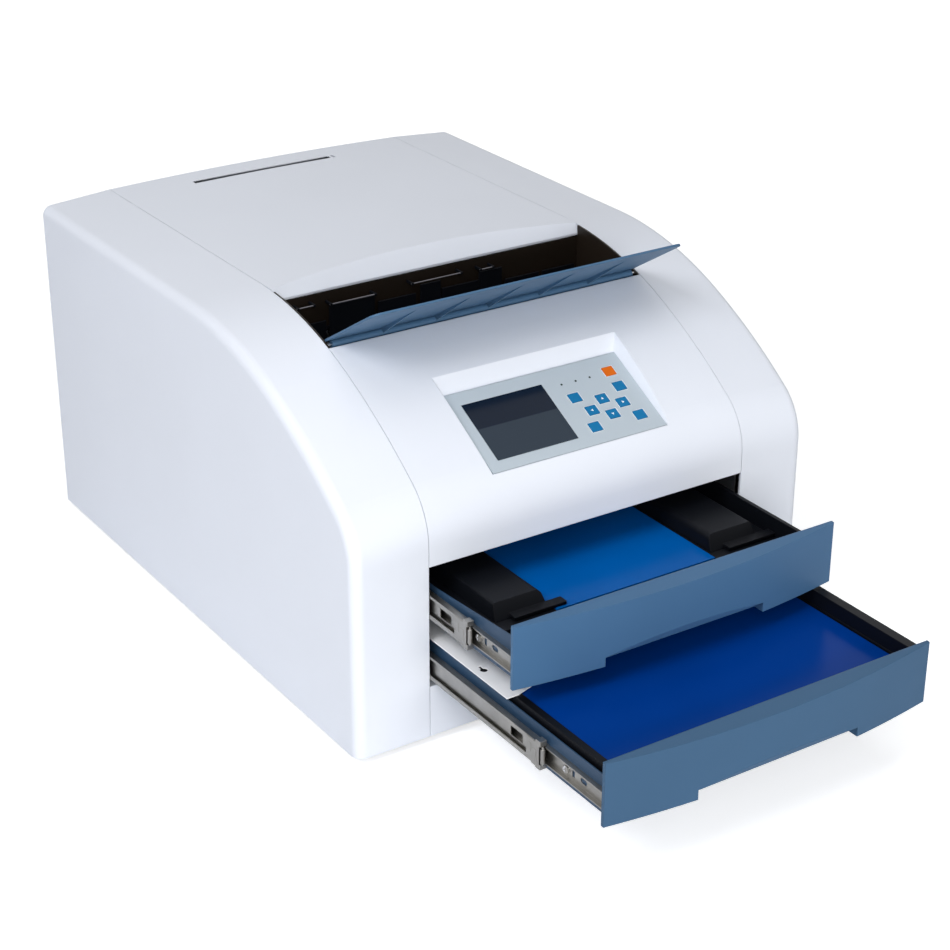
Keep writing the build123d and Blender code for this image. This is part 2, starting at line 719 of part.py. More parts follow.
KEY_CLEAR = 0.35
KEY_PLACES = {
    "key_up": (KEY_CENTRE_X, KEY_CENTRE_V + KEY_ROW),
    "key_down": (KEY_CENTRE_X, KEY_CENTRE_V - KEY_ROW),
    "key_left": (KEY_CENTRE_X - KEY_PITCH, KEY_CENTRE_V),
    "key_right": (KEY_CENTRE_X + KEY_PITCH, KEY_CENTRE_V),
    "key_upper_left": (KEY_CENTRE_X - KEY_PITCH * 1.46, KEY_CENTRE_V + 2 * KEY_ROW - 1),
    "key_upper_right": (KEY_CENTRE_X + KEY_PITCH * 1.46, KEY_CENTRE_V + 2 * KEY_ROW - 1),
    "key_lower_left": (KEY_CENTRE_X - KEY_PITCH * 1.46, KEY_CENTRE_V - 2 * KEY_ROW + 1),
    "key_lower_right": (KEY_CENTRE_X + KEY_PITCH * 1.46, KEY_CENTRE_V - 2 * KEY_ROW + 1),
    "key_orange": (KEY_CENTRE_X + KEY_PITCH * 1.46, KEY_CENTRE_V + 4 * KEY_ROW - 1.2),
}
LAMP_PLACES = [(LAMP_FIRST_X + index * LAMP_PITCH, LAMP_V) for index in range(3)]
KEY_STEM_R = 2.0


def panel_plate():
    plate = block(-PANEL_W / 2, PANEL_W / 2, 0, PANEL_L, -PANEL_T, 0)
    screen_low, screen_high = SCREEN_FROM_FRONT - SCREEN_L / 2, SCREEN_FROM_FRONT + SCREEN_L / 2
    plate -= block(
        SCREEN_X - SCREEN_W / 2 - 0.1, SCREEN_X + SCREEN_W / 2 + 0.1, screen_low - 0.1, screen_high + 0.1, -9, 9
    )
    for x, v in KEY_PLACES.values():
        plate -= block(
            x - KEY_W / 2 - KEY_CLEAR,
            x + KEY_W / 2 + KEY_CLEAR,
            v - KEY_L / 2 - KEY_CLEAR,
            v + KEY_L / 2 + KEY_CLEAR,
            -9,
            9,
        )
    for x, v in LAMP_PLACES:
        plate -= rod_z(x, v, -9, 9, LAMP_R + 0.05)
    return plate


keep("control_panel_plate", on_panel(panel_plate()))
screen = block(
    SCREEN_X - SCREEN_W / 2,
    SCREEN_X + SCREEN_W / 2,
    SCREEN_FROM_FRONT - SCREEN_L / 2,
    SCREEN_FROM_FRONT + SCREEN_L / 2,
    -BOARD_DEPTH,
    -0.15,
)
keep("lcd_screen", on_panel(screen))

for key_name, (key_x, key_v) in KEY_PLACES.items():
    cap = block(key_x - KEY_W / 2, key_x + KEY_W / 2, key_v - KEY_L / 2, key_v + KEY_L / 2, -PANEL_T, KEY_RISE)
    cap = fillet(cap.edges().filter_by(Axis.Z), 1.0)
    cap += rod_z(key_x, key_v, -BOARD_DEPTH + KEY_TRAVEL + FIT, -PANEL_T + 0.5, KEY_STEM_R)
    keep(key_name, on_panel(cap))

lamps = [on_panel(rod_z(x, v, -BOARD_DEPTH, 0.3, LAMP_R)) for x, v in LAMP_PLACES]
keep("indicator_lamps", *lamps)

BOARD_INSET = LEDGE + 1.5
key_board = block(
    -PANEL_W / 2 + BOARD_INSET,
    PANEL_W / 2 - BOARD_INSET,
    BOARD_INSET,
    PANEL_L - BOARD_INSET,
    -BOARD_DEPTH - BOARD_T,
    -BOARD_DEPTH,
)
for post_x in (-PANEL_W / 2 + BOARD_INSET + 4, PANEL_W / 2 - BOARD_INSET - 4):
    for post_v in (BOARD_INSET + 3, PANEL_L - BOARD_INSET - 3):
        key_board += rod_z(post_x, post_v, -BOARD_DEPTH - 0.5, -PANEL_T, 2.2)
keep("key_board", on_panel(key_board))


# Drawers. Each is drawn where it stands open in use, its fascia's ends at y = -out


def fascia_shape(out, bottom, inset):
    """The fascia's filled shape: bowed in plan, its top sloped down to the front."""
    half = FASCIA_HALF - inset
    low, high = bottom + inset, bottom + FASCIA_H - inset
    front, rear = -out + inset, -out + FASCIA_T
    middle = -out - FASCIA_BOW + inset
    edges = [
        ThreePointArc((-half, front, low), (0, middle, low), (half, front, low)),
        Line((half, front, low), (half, rear, low)),
        Line((half, rear, low), (-half, rear, low)),
        Line((-half, rear, low), (-half, front, low)),
    ]
    shape = Solid.extrude(Face(Wire(edges)), Vector(0, 0, high - low))
    start = -out + FACET_START
    reach = FASCIA_BOW + FASCIA_T + 20
    slope = FACET_DROP / (FASCIA_BOW + FACET_START)
    top = bottom + FASCIA_H - inset * sqrt(1 + slope**2)
    wedge = yz_prism(
        [(start, top), (start - reach, top - reach * slope), (start - reach, top + reach), (start, top + reach)],
        -FASCIA_HALF - 1,
        FASCIA_HALF + 1,
    )
    return shape - wedge


def notch_shape(out, bottom, grow):
    """The finger notch in a fascia's lower edge, with its sloped lip, grown by a wall."""
    rise = NOTCH_LIP_H / NOTCH_LIP_D
    back = -out + FASCIA_T - FASCIA_WALL + grow
    high = bottom + NOTCH_H + grow
    lip = -out - FASCIA_BOW + NOTCH_LIP_D + grow * sqrt(1 + 1 / rise**2) - grow / rise
    front = -out - FASCIA_BOW - 10
    low = bottom - (0 if grow else 1)
    points = [(back, low), (back, high), (lip, high), (front, high + (lip - front) * rise), (front, low)]
    return yz_prism(points, -NOTCH_HALF - grow, NOTCH_HALF + grow)


def fascia(out, bottom):
    outer = fascia_shape(out, bottom, 0)
    hollow = fascia_shape(out, bottom, FASCIA_WALL) + block(
        -FASCIA_HALF + FASCIA_WALL,
        FASCIA_HALF - FASCIA_WALL,
        -out + FASCIA_WALL,
        -out + FASCIA_T + 1,
        bottom + FASCIA_WALL,
        bottom + FASCIA_H - FASCIA_WALL,
    )
    shell = outer - hollow
    for boss_x in (-FASCIA_BOSS_X, 0, FASCIA_BOSS_X):
        boss = rod_y(boss_x, -out - FASCIA_BOW, -out + FASCIA_T, bottom + FASCIA_BOSS_Z, 5.0)
        shell += boss & outer
    shell += notch_shape(out, bottom, FASCIA_WALL) & outer
    return shell - notch_shape(out, bottom, 0)


def tray(out, bottom, right_height, left_front_height, left_rear_height):
    """A folded sheet-steel tray, open on top, with a flange that carries its fascia."""
    y0 = -out + FASCIA_T
    y1 = y0 + TRAY_DEPTH
    z0 = bottom + TRAY_FLOOR_UP
    body = block(-TRAY_HALF, TRAY_HALF, y0, y1, z0, z0 + SHEET)
    left_front = bottom + TRAY_FLOOR_UP + left_front_height
    left_rear = bottom + TRAY_FLOOR_UP + left_rear_height
    left_side = [(y0, z0), (y0, left_front), (y0 + out, left_rear), (y1, left_rear), (y1, z0)]
    body += yz_prism(left_side, -TRAY_HALF, -TRAY_HALF + SHEET)
    flange_half = FASCIA_HALF - TRAY_FLANGE_INSET
    flange_low, flange_high = TRAY_FLANGE_Z
    body += block(-flange_half, flange_half, y0, y0 + SHEET, bottom + flange_low, bottom + flange_high)
    body += block(TRAY_HALF - SHEET, TRAY_HALF, y0, y1, z0, bottom + TRAY_FLOOR_UP + right_height)
    body += block(-TRAY_HALF, TRAY_HALF, y0, y0 + SHEET, z0, bottom + TRAY_FLOOR_UP + TRAY_LEFT_H - 4)
    body += block(-TRAY_HALF, TRAY_HALF, y1 - SHEET, y1, z0, bottom + TRAY_REAR_H + TRAY_FLOOR_UP)
    return body


keep("lower_fascia", fascia(LOWER_OUT, LOWER_BOTTOM))
keep("upper_fascia", fascia(UPPER_OUT, UPPER_BOTTOM))
keep("lower_tray", tray(LOWER_OUT, LOWER_BOTTOM, LOWER_RIGHT_H, TRAY_LEFT_H, TRAY_LEFT_H))
keep("upper_tray", tray(UPPER_OUT, UPPER_BOTTOM, UPPER_RIGHT_H, UPPER_LEFT_FRONT_H, UPPER_LEFT_REAR_H))


# Lower drawer: a black cassette that lines the tray and holds the large film

LOWER_FLOOR = LOWER_BOTTOM + TRAY_FLOOR_UP + SHEET
LARGE_FILM_TOP = LOWER_BOTTOM + FILM_UP
LOWER_TRAY_FRONT = -LOWER_OUT + FASCIA_T + SHEET


def cassette():
    y0 = LOWER_TRAY_FRONT + FIT
    y1 = LOWER_TRAY_FRONT - 2 * SHEET + TRAY_DEPTH - FIT
    pocket_half = LARGE_FILM_W / 2 + FILM_CLEAR
    right_half = TRAY_HALF - SHEET - FIT
    rim = LARGE_FILM_TOP + RIM_UP
    low = LARGE_FILM_TOP - FILM_STACK - CASSETTE_WALL / 2
    body = block(-CASSETTE_HALF, right_half, y0, y1, LOWER_FLOOR, rim)
    body -= block(-pocket_half, pocket_half, y0 + 3, y1 - 3, low + CASSETTE_WALL / 2, rim + 1)
    body -= block(-CASSETTE_HALF + 3, right_half - 3, y0 + 3, y1 - 3, LOWER_FLOOR - 1, low)
    step_half = pocket_half + 1
    wall_top = LOWER_BOTTOM + TRAY_FLOOR_UP + LOWER_RIGHT_H
    body += block(step_half, right_half, y0, y1, rim - 1, wall_top)
    body += block(step_half, TRAY_HALF, y0, y1, wall_top, wall_top + SHEET)
    body -= block(-pocket_half - 40, pocket_half, y1 - 8, y1 + 1, LARGE_FILM_TOP - 6, rim + 1)
    return body


keep("lower_film_cassette", cassette())
large_film = block(
    -LARGE_FILM_W / 2,
    LARGE_FILM_W / 2,
    LOWER_TRAY_FRONT + 5,
    LOWER_TRAY_FRONT + 5 + LARGE_FILM_L,
    LARGE_FILM_TOP - FILM_STACK,
    LARGE_FILM_TOP,
)
keep("lower_film_stack", large_film)


# Upper drawer: a black deck with a pocket for the small film and a guide block each side of it

UPPER_FLOOR = UPPER_BOTTOM + TRAY_FLOOR_UP + SHEET
SMALL_FILM_TOP = UPPER_BOTTOM + SMALL_FILM_UP
DECK_FRONT = -UPPER_OUT + FASCIA_T + DECK_FRONT_SETBACK
DECK_TOP = SMALL_FILM_TOP - 1.0
DECK_HALF = TRAY_HALF - SHEET - FIT
SMALL_FILM_FRONT = DECK_FRONT + 6.0
LINER_T = 3.0


def deck():
    y0, y1 = DECK_FRONT, DECK_FRONT + DECK_LENGTH
    half = SMALL_FILM_W / 2 + FILM_CLEAR
    body = block(-DECK_HALF, DECK_HALF, y0, y1, DECK_TOP - DECK_T, DECK_TOP)
    body -= block(
        -half,
        half,
        SMALL_FILM_FRONT - FILM_CLEAR,
        SMALL_FILM_FRONT + SMALL_FILM_L + FILM_CLEAR,
        SMALL_FILM_TOP - SMALL_FILM_STACK,
        DECK_TOP + 1,
    )
    for side in (-1, 1):
        body += block(side * (DECK_HALF - 3), side * DECK_HALF, y0, y1, UPPER_FLOOR, DECK_TOP - 1)
    wall_top = UPPER_BOTTOM + TRAY_FLOOR_UP + UPPER_RIGHT_H
    liner_front = -UPPER_OUT + FASCIA_T + SHEET + FIT
    body += block(DECK_HALF - LINER_T, DECK_HALF, liner_front, y1, DECK_TOP - DECK_T, wall_top)
    body += block(DECK_HALF - LINER_T, TRAY_HALF, liner_front, y1, wall_top, wall_top + SHEET)
    return body


keep("upper_film_deck", deck())
small_film = block(
    -SMALL_FILM_W / 2,
    SMALL_FILM_W / 2,
    SMALL_FILM_FRONT,
    SMALL_FILM_FRONT + SMALL_FILM_L,
    SMALL_FILM_TOP - SMALL_FILM_STACK,
    SMALL_FILM_TOP,
)
keep("upper_film_stack", small_film)


GUIDE_X = SMALL_FILM_W / 2 + FILM_CLEAR + 2.8


def guide_block():
    """A moulded block with sloped faces and a round shoulder that centres the small film."""
    x0 = GUIDE_X
    x1 = x0 + GUIDE_W
    y0 = DECK_FRONT + GUIDE_SETBACK
    y1 = y0 + GUIDE_L
    t, front_t = GUIDE_TAPER, GUIDE_FRONT_TAPER
    base = [(x0, y0), (x1, y0), (x1, y1), (x0, y1)]
    top = [(x0 + t, y0 + front_t), (x1 - t, y0 + front_t), (x1 - t, y1 - t), (x0 + t, y1 - t)]
    low, high = DECK_TOP, DECK_TOP + GUIDE_H
    faces = [
        Face(Wire.make_polygon([(x, y, z) for x, y in points], close=True))
        for points, z in ((base, low), (top, high))
    ]
    solid = loft(faces, ruled=True)
    inner = [e for e in solid.edges() if e.center().Z > high - 0.1 and abs(e.center().X - x0 - t) < 0.1]
    solid = fillet(inner, GUIDE_SHOULDER_R)
    outer = [e for e in solid.edges() if e.center().Z > high - 0.1 and e.center().X > x1 - t - 0.1]
    return fillet(outer, 2.5)


def guide_bar(x0):
    """The low bar along a block's foot, set over to the right; the left one laps the film's corner."""
    front = DECK_FRONT + GUIDE_SETBACK
    bottom = SMALL_FILM_TOP + GUIDE_BAR_UP
    x = x0 + GUIDE_BAR_SHIFT
    bar = block(x, x + GUIDE_W, front - GUIDE_BAR_D, front + 3, bottom, bottom + GUIDE_BAR_T)
    return fillet(bar.edges().filter_by(Axis.Z), 1.2)


right_guide, left_guide = both_sides(guide_block())
keep("film_guide_blocks", left_guide + guide_bar(-GUIDE_X - GUIDE_W), right_guide + guide_bar(GUIDE_X))


def hold_plate():
    """The white plate that lies on the cassette's rim and keeps the large film's edge down."""
    x0 = -TRAY_HALF - 6.0
    x1 = x0 + HOLD_PLATE_W
    y0 = -LOWER_OUT + HOLD_PLATE_SETBACK
    z0 = LARGE_FILM_TOP + RIM_UP
    points = [(x0, y0 + 1), (x0 + 14, y0 + 1), (x1, y0 + 12), (x1, y0 + HOLD_PLATE_L), (x0, y0 + HOLD_PLATE_L)]
    plate = xy_prism(points, z0, z0 + SHEET)
    plate -= rod_z(x0 + 11, y0 + 58, z0 - 1, z0 + 3, KEYHOLE_R)
    return plate - block(x0 + 9.4, x0 + 12.6, y0 + 58, y0 + 67, z0 - 1, z0 + 3)


keep("lower_film_hold_plate", hold_plate())


# Ball-bearing slides: a cabinet member on the chassis, a middle member and a drawer member

SLIDE_OUTER = CHASSIS_X
SLIDE_INNER = CHASSIS_X - SLIDE_T
BALL_GAP = 0.35


def channel_x(x_web, x_tip, y0, y1, z_mid, height):
    """A C-shaped rail: a web at x_web and two flanges reaching to x_tip."""
    t = SLIDE_METAL if x_tip > x_web else -SLIDE_METAL
    half = height / 2
    rail = block(x_web, x_web + t, y0, y1, z_mid - half, z_mid + half)
    for side in (-1, 1):
        rail += block(x_web, x_tip, y0, y1, z_mid + side * half, z_mid + side * (half - SLIDE_METAL))
    return rail


def cabinet_member(z_mid):
    rail = channel_x(SLIDE_OUTER, SLIDE_OUTER - 8.5, SLIDE_START, SLIDE_START + SLIDE_LENGTH, z_mid, CABINET_H)
    for y in (SLIDE_START + 40, SLIDE_START + SLIDE_LENGTH / 2, SLIDE_START + SLIDE_LENGTH - 40):
        rail -= rod_x(SLIDE_OUTER - 3, SLIDE_OUTER + 1, y, z_mid, 2.3)
    return rail


def middle_member(z_mid, front):
    """Middle rail with its ball rows, front bumper and lightening window."""
    y0, y1 = front, front + SLIDE_LENGTH
    web = SLIDE_OUTER - 5.5
    half = MIDDLE_H / 2
    rail = block(web - SLIDE_METAL, web, y0, y1, z_mid - half, z_mid + half)
    for side in (-1, 1):
        flange = z_mid + side * half
        rail += block(SLIDE_OUTER - 9.5, SLIDE_OUTER - 2.2, y0, y1, flange, flange - side * SLIDE_METAL)
        ball_top = z_mid + side * (CABINET_H / 2 - SLIDE_METAL - BALL_GAP)
        rail += block(SLIDE_OUTER - 7.5, SLIDE_OUTER - 4.5, y0 + 4, y1, flange, ball_top)
        ball_low = z_mid + side * (DRAWER_MEMBER_H / 2 + BALL_GAP)
        inner = flange - side * SLIDE_METAL
        rail += block(SLIDE_OUTER - 9.5, SLIDE_OUTER - 7.0, y0 + 4, y1, inner, ball_low)
    bumper_half = CABINET_H / 2 - SLIDE_METAL - BALL_GAP
    bumper = block(SLIDE_OUTER - 9.5, SLIDE_OUTER - 2.2, y0 - 3, y0 + 5, z_mid - bumper_half, z_mid + bumper_half)
    bumper -= block(
        SLIDE_OUTER - 20,
        SLIDE_OUTER,
        y0 - 4,
        y0 + 6,
        z_mid - DRAWER_MEMBER_H / 2 - BALL_GAP,
        z_mid + DRAWER_MEMBER_H / 2 + BALL_GAP,
    )
    rail += bumper
    window_y, half_l, half_h = y0 + WINDOW_BACK, WINDOW_L / 2, WINDOW_H / 2
    return rail - block(web - 3, web + 1, window_y - half_l, window_y + half_l, z_mid - half_h, z_mid + half_h)


def drawer_member(z_mid, front):
    """Inner rail screwed to the tray, with its screw hole, slot and oval hole."""
    rail = channel_x(SLIDE_INNER, SLIDE_OUTER - 7.0, front, front + SLIDE_LENGTH, z_mid, DRAWER_MEMBER_H)
    rail -= block(
        SLIDE_INNER - 1, SLIDE_INNER + 2, front + SLOT_BACK - 2, front + SLOT_BACK + 2, z_mid - 4, z_mid + 4
    )
    rail -= block(
        SLIDE_INNER - 1, SLIDE_INNER + 2, front + HOLE_BACK - 2.4, front + HOLE_BACK + 2.4, z_mid - 2.8, z_mid + 2.8
    )
    for end in (-2.4, 2.4):
        rail -= rod_x(SLIDE_INNER - 1, SLIDE_INNER + 2, front + HOLE_BACK + end, z_mid, 2.8)
    for back in (SCREW_BACK, SLIDE_LENGTH - SCREW_BACK):
        rail -= rod_x(SLIDE_INNER - 1, SLIDE_INNER + 3, front + back, z_mid, 2.0)
    return rail


SCREW_HEAD_R = 4.3


def slide_screws(z_mid, front):
    """Pan-head screws through the drawer member into the tray wall."""
    screws = []
    for back in (SCREW_BACK, SLIDE_LENGTH - SCREW_BACK):
        x0 = SLIDE_INNER + SLIDE_METAL
        screw = rod_x(x0, x0 + 2.2, front + back, z_mid, SCREW_HEAD_R)
        screw += rod_x(x0 - SLIDE_METAL, x0 + 1, front + back, z_mid, 2.0)
        screws += both_sides(screw)
    return screws


cabinet_members = []
for drawer, out, bottom, middle_out in (
    ("upper", UPPER_OUT, UPPER_BOTTOM, UPPER_MIDDLE_OUT),
    ("lower", LOWER_OUT, LOWER_BOTTOM, LOWER_MIDDLE_OUT),
):
    slide_z = bottom + SLIDE_UP
    member_front = -out + FASCIA_T + SHEET + 0.2
    cabinet_members += both_sides(cabinet_member(slide_z))
    keep(drawer + "_slide_middle_members", *both_sides(middle_member(slide_z, -middle_out)))
    members = both_sides(drawer_member(slide_z, member_front))
    keep(drawer + "_slide_drawer_members", *members, *slide_screws(slide_z, member_front))
keep("slide_cabinet_members", *cabinet_members)


# Film pick-up: a rubber roller over each film stack, held by arms from a fixed shaft

UPPER_PICKUP_Y = 300.0
LOWER_PICKUP_Y = 436.0
UPPER_SHAFT = (330.0, OPENING_TOP + 9)
LOWER_SHAFT = (522.0, 130.0)
PICKUP_PIN_R = 3.0
FILM_RUN = 0.6
ARM_T = 4.0
ARM_W = 8.0


def pickup_roller(y, z):
    roller = rod_x(-PICKUP_W / 2, PICKUP_W / 2, y, z, PICKUP_R)
    return roller + rod_x(-PICKUP_W / 2 - ARM_T - 2, PICKUP_W / 2 + ARM_T + 2, y, z, PICKUP_PIN_R)


def pickup_arms(y, z, shaft_y, shaft_z):
    """Two arms from the shaft to the roller, each with an eye at both ends."""
    arms = []
    length = hypot(shaft_y - y, shaft_z - z)
    tilt = degrees(atan2(shaft_z - z, shaft_y - y))
    for side in (-1, 1):
        x0 = side * (PICKUP_W / 2 + FIT)
        x1 = x0 + side * ARM_T
        arm = Pos((x0 + x1) / 2, (y + shaft_y) / 2, (z + shaft_z) / 2) * Rot(tilt, 0, 0) * Box(ARM_T, length, ARM_W)
        arm += rod_x(x0, x1, y, z, ARM_W / 2 + 0.8)
        arm += rod_x(x0, x1, shaft_y, shaft_z, SHAFT_R + 3)
        arm -= rod_x(x0 - side, x1 + side, y, z, PICKUP_PIN_R + 0.05)
        arm -= rod_x(x0 - side, x1 + side, shaft_y, shaft_z, SHAFT_R)
        arms.append(arm)
    return arms


UPPER_PICKUP_Z = SMALL_FILM_TOP + FILM_RUN + PICKUP_R
LOWER_PICKUP_Z = LARGE_FILM_TOP + FILM_RUN + PICKUP_R
keep("upper_pickup_roller", pickup_roller(UPPER_PICKUP_Y, UPPER_PICKUP_Z))
keep("lower_pickup_roller", pickup_roller(LOWER_PICKUP_Y, LOWER_PICKUP_Z))
arms = pickup_arms(UPPER_PICKUP_Y, UPPER_PICKUP_Z, *UPPER_SHAFT)
arms += pickup_arms(LOWER_PICKUP_Y, LOWER_PICKUP_Z, *LOWER_SHAFT)
pickup_shafts = [rod_x(-CHASSIS_X, CHASSIS_X, *place, SHAFT_R) for place in (UPPER_SHAFT, LOWER_SHAFT)]
keep("pickup_arms_and_shafts", *arms, *pickup_shafts)


# Printing: the platen roller, its bushes and pulley, under the thermal head

BUSH_L = 5.0
ROLLER_HALF = 188.0


def driven_roller(y, z, radius):
    """Rubber-covered roller on a steel shaft that passes through the left wall to its pulley."""
    shaft = rod_x(-CHASSIS_X - 18, CHASSIS_X + 4, y, z, SHAFT_R)
    return rod_x(-ROLLER_HALF, ROLLER_HALF, y, z, radius) + shaft


def pulley(y, z, radius, bore):
    """Toothed pulley with two flanges, outside the left wall."""
    x0 = -CHASSIS_X - 5
    wheel = rod_x(x0 - BELT_W - 2, x0, y, z, radius - BELT_T / 2)
    for x in (x0 - 1, x0 - BELT_W - 2):
        wheel += rod_x(x, x + 1, y, z, radius + 2)
    return wheel - rod_x(x0 - BELT_W - 4, x0 + 2, y, z, bore)


keep("platen_roller", driven_roller(PLATEN_Y, PLATEN_Z, PLATEN_R))
keep("platen_pulley", pulley(PLATEN_Y, PLATEN_Z, PULLEY_R, SHAFT_R))
bush = rod_x(CHASSIS_X - 2, CHASSIS_X - 2 + BUSH_L, PLATEN_Y, PLATEN_Z, BUSH_R)
bush += rod_x(CHASSIS_X - 2, CHASSIS_X, PLATEN_Y, PLATEN_Z, BUSH_R + 2)
bush -= rod_x(CHASSIS_X - 3, CHASSIS_X + BUSH_L, PLATEN_Y, PLATEN_Z, SHAFT_R + 0.05)
keep("platen_bushes", *both_sides(bush))

head_z = PLATEN_Z + PLATEN_R + FIT
fin_low = head_z + HEAD_H - HEAD_FIN_H
head = block(-HEAD_L / 2, HEAD_L / 2, beam_y, beam_y + HEAD_D, head_z + 1.5, fin_low)
head += block(-HEAD_L / 2, HEAD_L / 2, PLATEN_Y - 4, PLATEN_Y + 4, head_z, head_z + 2)
for fin in range(HEAD_FINS):
    fin_y = beam_y + 3 + fin * (HEAD_D - 6) / (HEAD_FINS - 1)
    head += block(-HEAD_L / 2, HEAD_L / 2, fin_y - 1, fin_y + 1, fin_low - 1, beam_z)
keep("thermal_head", head)


# Drive: motor inside the left wall's outer bay, its pulley and the timing belt

MOTOR_END_GAP = 21.5
motor_x0 = -CHASSIS_X - CHASSIS_T - 2 - BELT_W - 10
motor = block(
    -CASE_HALF + WALL + MOTOR_END_GAP,
    motor_x0,
    MOTOR_Y - MOTOR_SIDE / 2,
    MOTOR_Y + MOTOR_SIDE / 2,
    MOTOR_Z - MOTOR_SIDE / 2,
    MOTOR_Z + MOTOR_SIDE / 2,
)
motor = fillet(motor.edges().filter_by(Axis.X), 6.0)
for side_y in (-1, 1):
    for side_z in (-1, 1):
        post_y, post_z = MOTOR_Y + side_y * 22, MOTOR_Z + side_z * 22
        motor += rod_x(motor_x0 - 1, -CHASSIS_X - CHASSIS_T, post_y, post_z, 3.0)
motor -= rod_x(motor_x0 - 20, motor_x0 + 1, MOTOR_Y, MOTOR_Z, 3.05)
keep("drive_motor", motor)
motor_pulley = pulley(MOTOR_Y, MOTOR_Z, MOTOR_PULLEY_R, 1.0)
motor_pulley += rod_x(motor_x0 - 18, -CHASSIS_X - 5, MOTOR_Y, MOTOR_Z, 3.0)
keep("motor_pulley", motor_pulley)


def outer_tangent(a, b):
    """Ends of the belt's straight run outside two pulleys, each (y, z, radius)."""
    ay, az, ar = a
    by, bz, br = b
    gap = hypot(by - ay, bz - az)
    along = atan2(bz - az, by - ay)
    lean = asin((ar - br) / gap)
    normal = along - radians(90) + lean
    return (ay + ar * cos(normal), az + ar * sin(normal)), (by + br * cos(normal), bz + br * sin(normal)), normal


def belt_loop(grow):
    """The closed loop around the two pulleys, as one face."""
    wheels = [(MOTOR_Y, MOTOR_Z, MOTOR_PULLEY_R + grow), (PLATEN_Y, PLATEN_Z, PULLEY_R + grow)]
    runs = [outer_tangent(wheels[0], wheels[1]), outer_tangent(wheels[1], wheels[0])]
    x = -CHASSIS_X - 6 - BELT_W
    edges = []
    for i in (0, 1):
        start, end, normal = runs[i]
        next_start, _, next_normal = runs[1 - i]
        edges.append(Line((x, *start), (x, *end)))
        wy, wz, wr = wheels[1 - i]
        middle = normal + ((next_normal - normal) % radians(360)) / 2
        top = (x, wy + wr * cos(middle), wz + wr * sin(middle))
        edges.append(ThreePointArc((x, *end), top, (x, *next_start)))
    return Face(Wire(edges))


belt_run = Vector(BELT_W - 0.6, 0, 0)
belt = Solid.extrude(belt_loop(BELT_T / 2 + FIT), belt_run) - Solid.extrude(belt_loop(-BELT_T / 2 + FIT), belt_run)
keep("timing_belt", Pos(0.3, 0, 0) * belt)


# Electrics: power supply, main board, fan, power inlet, rocker switch and data sockets

PSU_X0 = CHASSIS_X + LIP + 2
PSU_X1 = CASE_HALF - WALL - 10
PSU_L = 220.0
PSU_H = 45.0
PSU_REAR = CASE_D - 85.0
PSU_VENT_PITCH = 12.0
psu = block(PSU_X0, PSU_X1, PSU_REAR - PSU_L, PSU_REAR, BASE_T, BASE_T + PSU_H)
for vent in range(10):
    vent_y = PSU_REAR - PSU_L + 20 + vent * PSU_VENT_PITCH
    psu -= block(PSU_X0 + 8, PSU_X1 - 8, vent_y, vent_y + 4, BASE_T + PSU_H - 2, BASE_T + PSU_H + 1)
keep("power_supply", psu)

BOARD_X = PORT_X - PORT_W / 2 + FIT - BOARD_T
MAIN_BOARD_L = 239.0
board_rear = COVER_REAR - 14
board_front = board_rear - MAIN_BOARD_L
main_board = block(BOARD_X, BOARD_X + BOARD_T, board_front, board_rear, PORT_Z[0] - 25, PORT_Z[2] + 60)
for post_y in (board_front + 10, board_rear - 19):
    for post_z in (PORT_Z[0] - 18, PORT_Z[2] + 52):
        main_board += rod_x(CHASSIS_X + CHASSIS_T, BOARD_X + 0.5, post_y, post_z, 3.0)
for chip_back, chip_z, chip_side in ((50, 200, 26), (90, 270, 20), (150, 210, 16), (130, 290, 12)):
    chip_y = board_front + chip_back
    main_board += block(
        BOARD_X + BOARD_T - 0.2, BOARD_X + BOARD_T + 3, chip_y, chip_y + chip_side, chip_z, chip_z + chip_side
    )
keep("main_board", main_board)
sockets = []
for port_z in PORT_Z:
    socket = block(
        PORT_X - PORT_W / 2 + FIT,
        PORT_X + PORT_W / 2 - FIT,
        COVER_REAR - 15,
        CASE_D + 0.5,
        port_z - PORT_H / 2 + FIT,
        port_z + PORT_H / 2 - FIT,
    )
    socket -= block(PORT_X - 5, PORT_X + 5, CASE_D - 10, CASE_D + 1, port_z - 5, port_z + 4)
    sockets.append(socket)
keep("data_sockets", *sockets)

fan_y0, fan_y1 = COVER_REAR - 25, COVER_REAR
fan_frame = block(FAN_X - FAN_SIDE / 2, FAN_X + FAN_SIDE / 2, fan_y0, fan_y1, FAN_Z - FAN_SIDE / 2, FAN_Z + FAN_SIDE / 2)
fan_frame -= rod_y(FAN_X, fan_y0 - 1, fan_y1 + 1, FAN_Z, FAN_SIDE / 2 - 2.5)
fan_frame += rod_y(FAN_X, fan_y0, fan_y0 + 3, FAN_Z, 15.0)
fan_frame += block(FAN_X - FAN_SIDE / 2 + 1, FAN_X + FAN_SIDE / 2 - 1, fan_y0, fan_y0 + 3, FAN_Z - 3, FAN_Z + 3)
fan_frame += block(FAN_X - 3, FAN_X + 3, fan_y0, fan_y0 + 3, FAN_Z - FAN_SIDE / 2 + 1, FAN_Z + FAN_SIDE / 2 - 1)
fan_frame += rod_y(FAN_X, fan_y0 + 2, fan_y0 + 18, FAN_Z, 3.0)
keep("fan_frame", fan_frame)
FAN_BLADES = 7
rotor = rod_y(FAN_X, fan_y0 + 3.4, fan_y0 + 21, FAN_Z, 14.0)
for index in range(FAN_BLADES):
    blade = Pos(FAN_SIDE / 4 + 3, 0, 0) * Rot(35, 0, 0) * Box(FAN_SIDE / 2 - 13, 18, 1.4)
    rotor += Pos(FAN_X, fan_y0 + 12.2, FAN_Z) * Rot(0, index * 360 / FAN_BLADES, 0) * blade
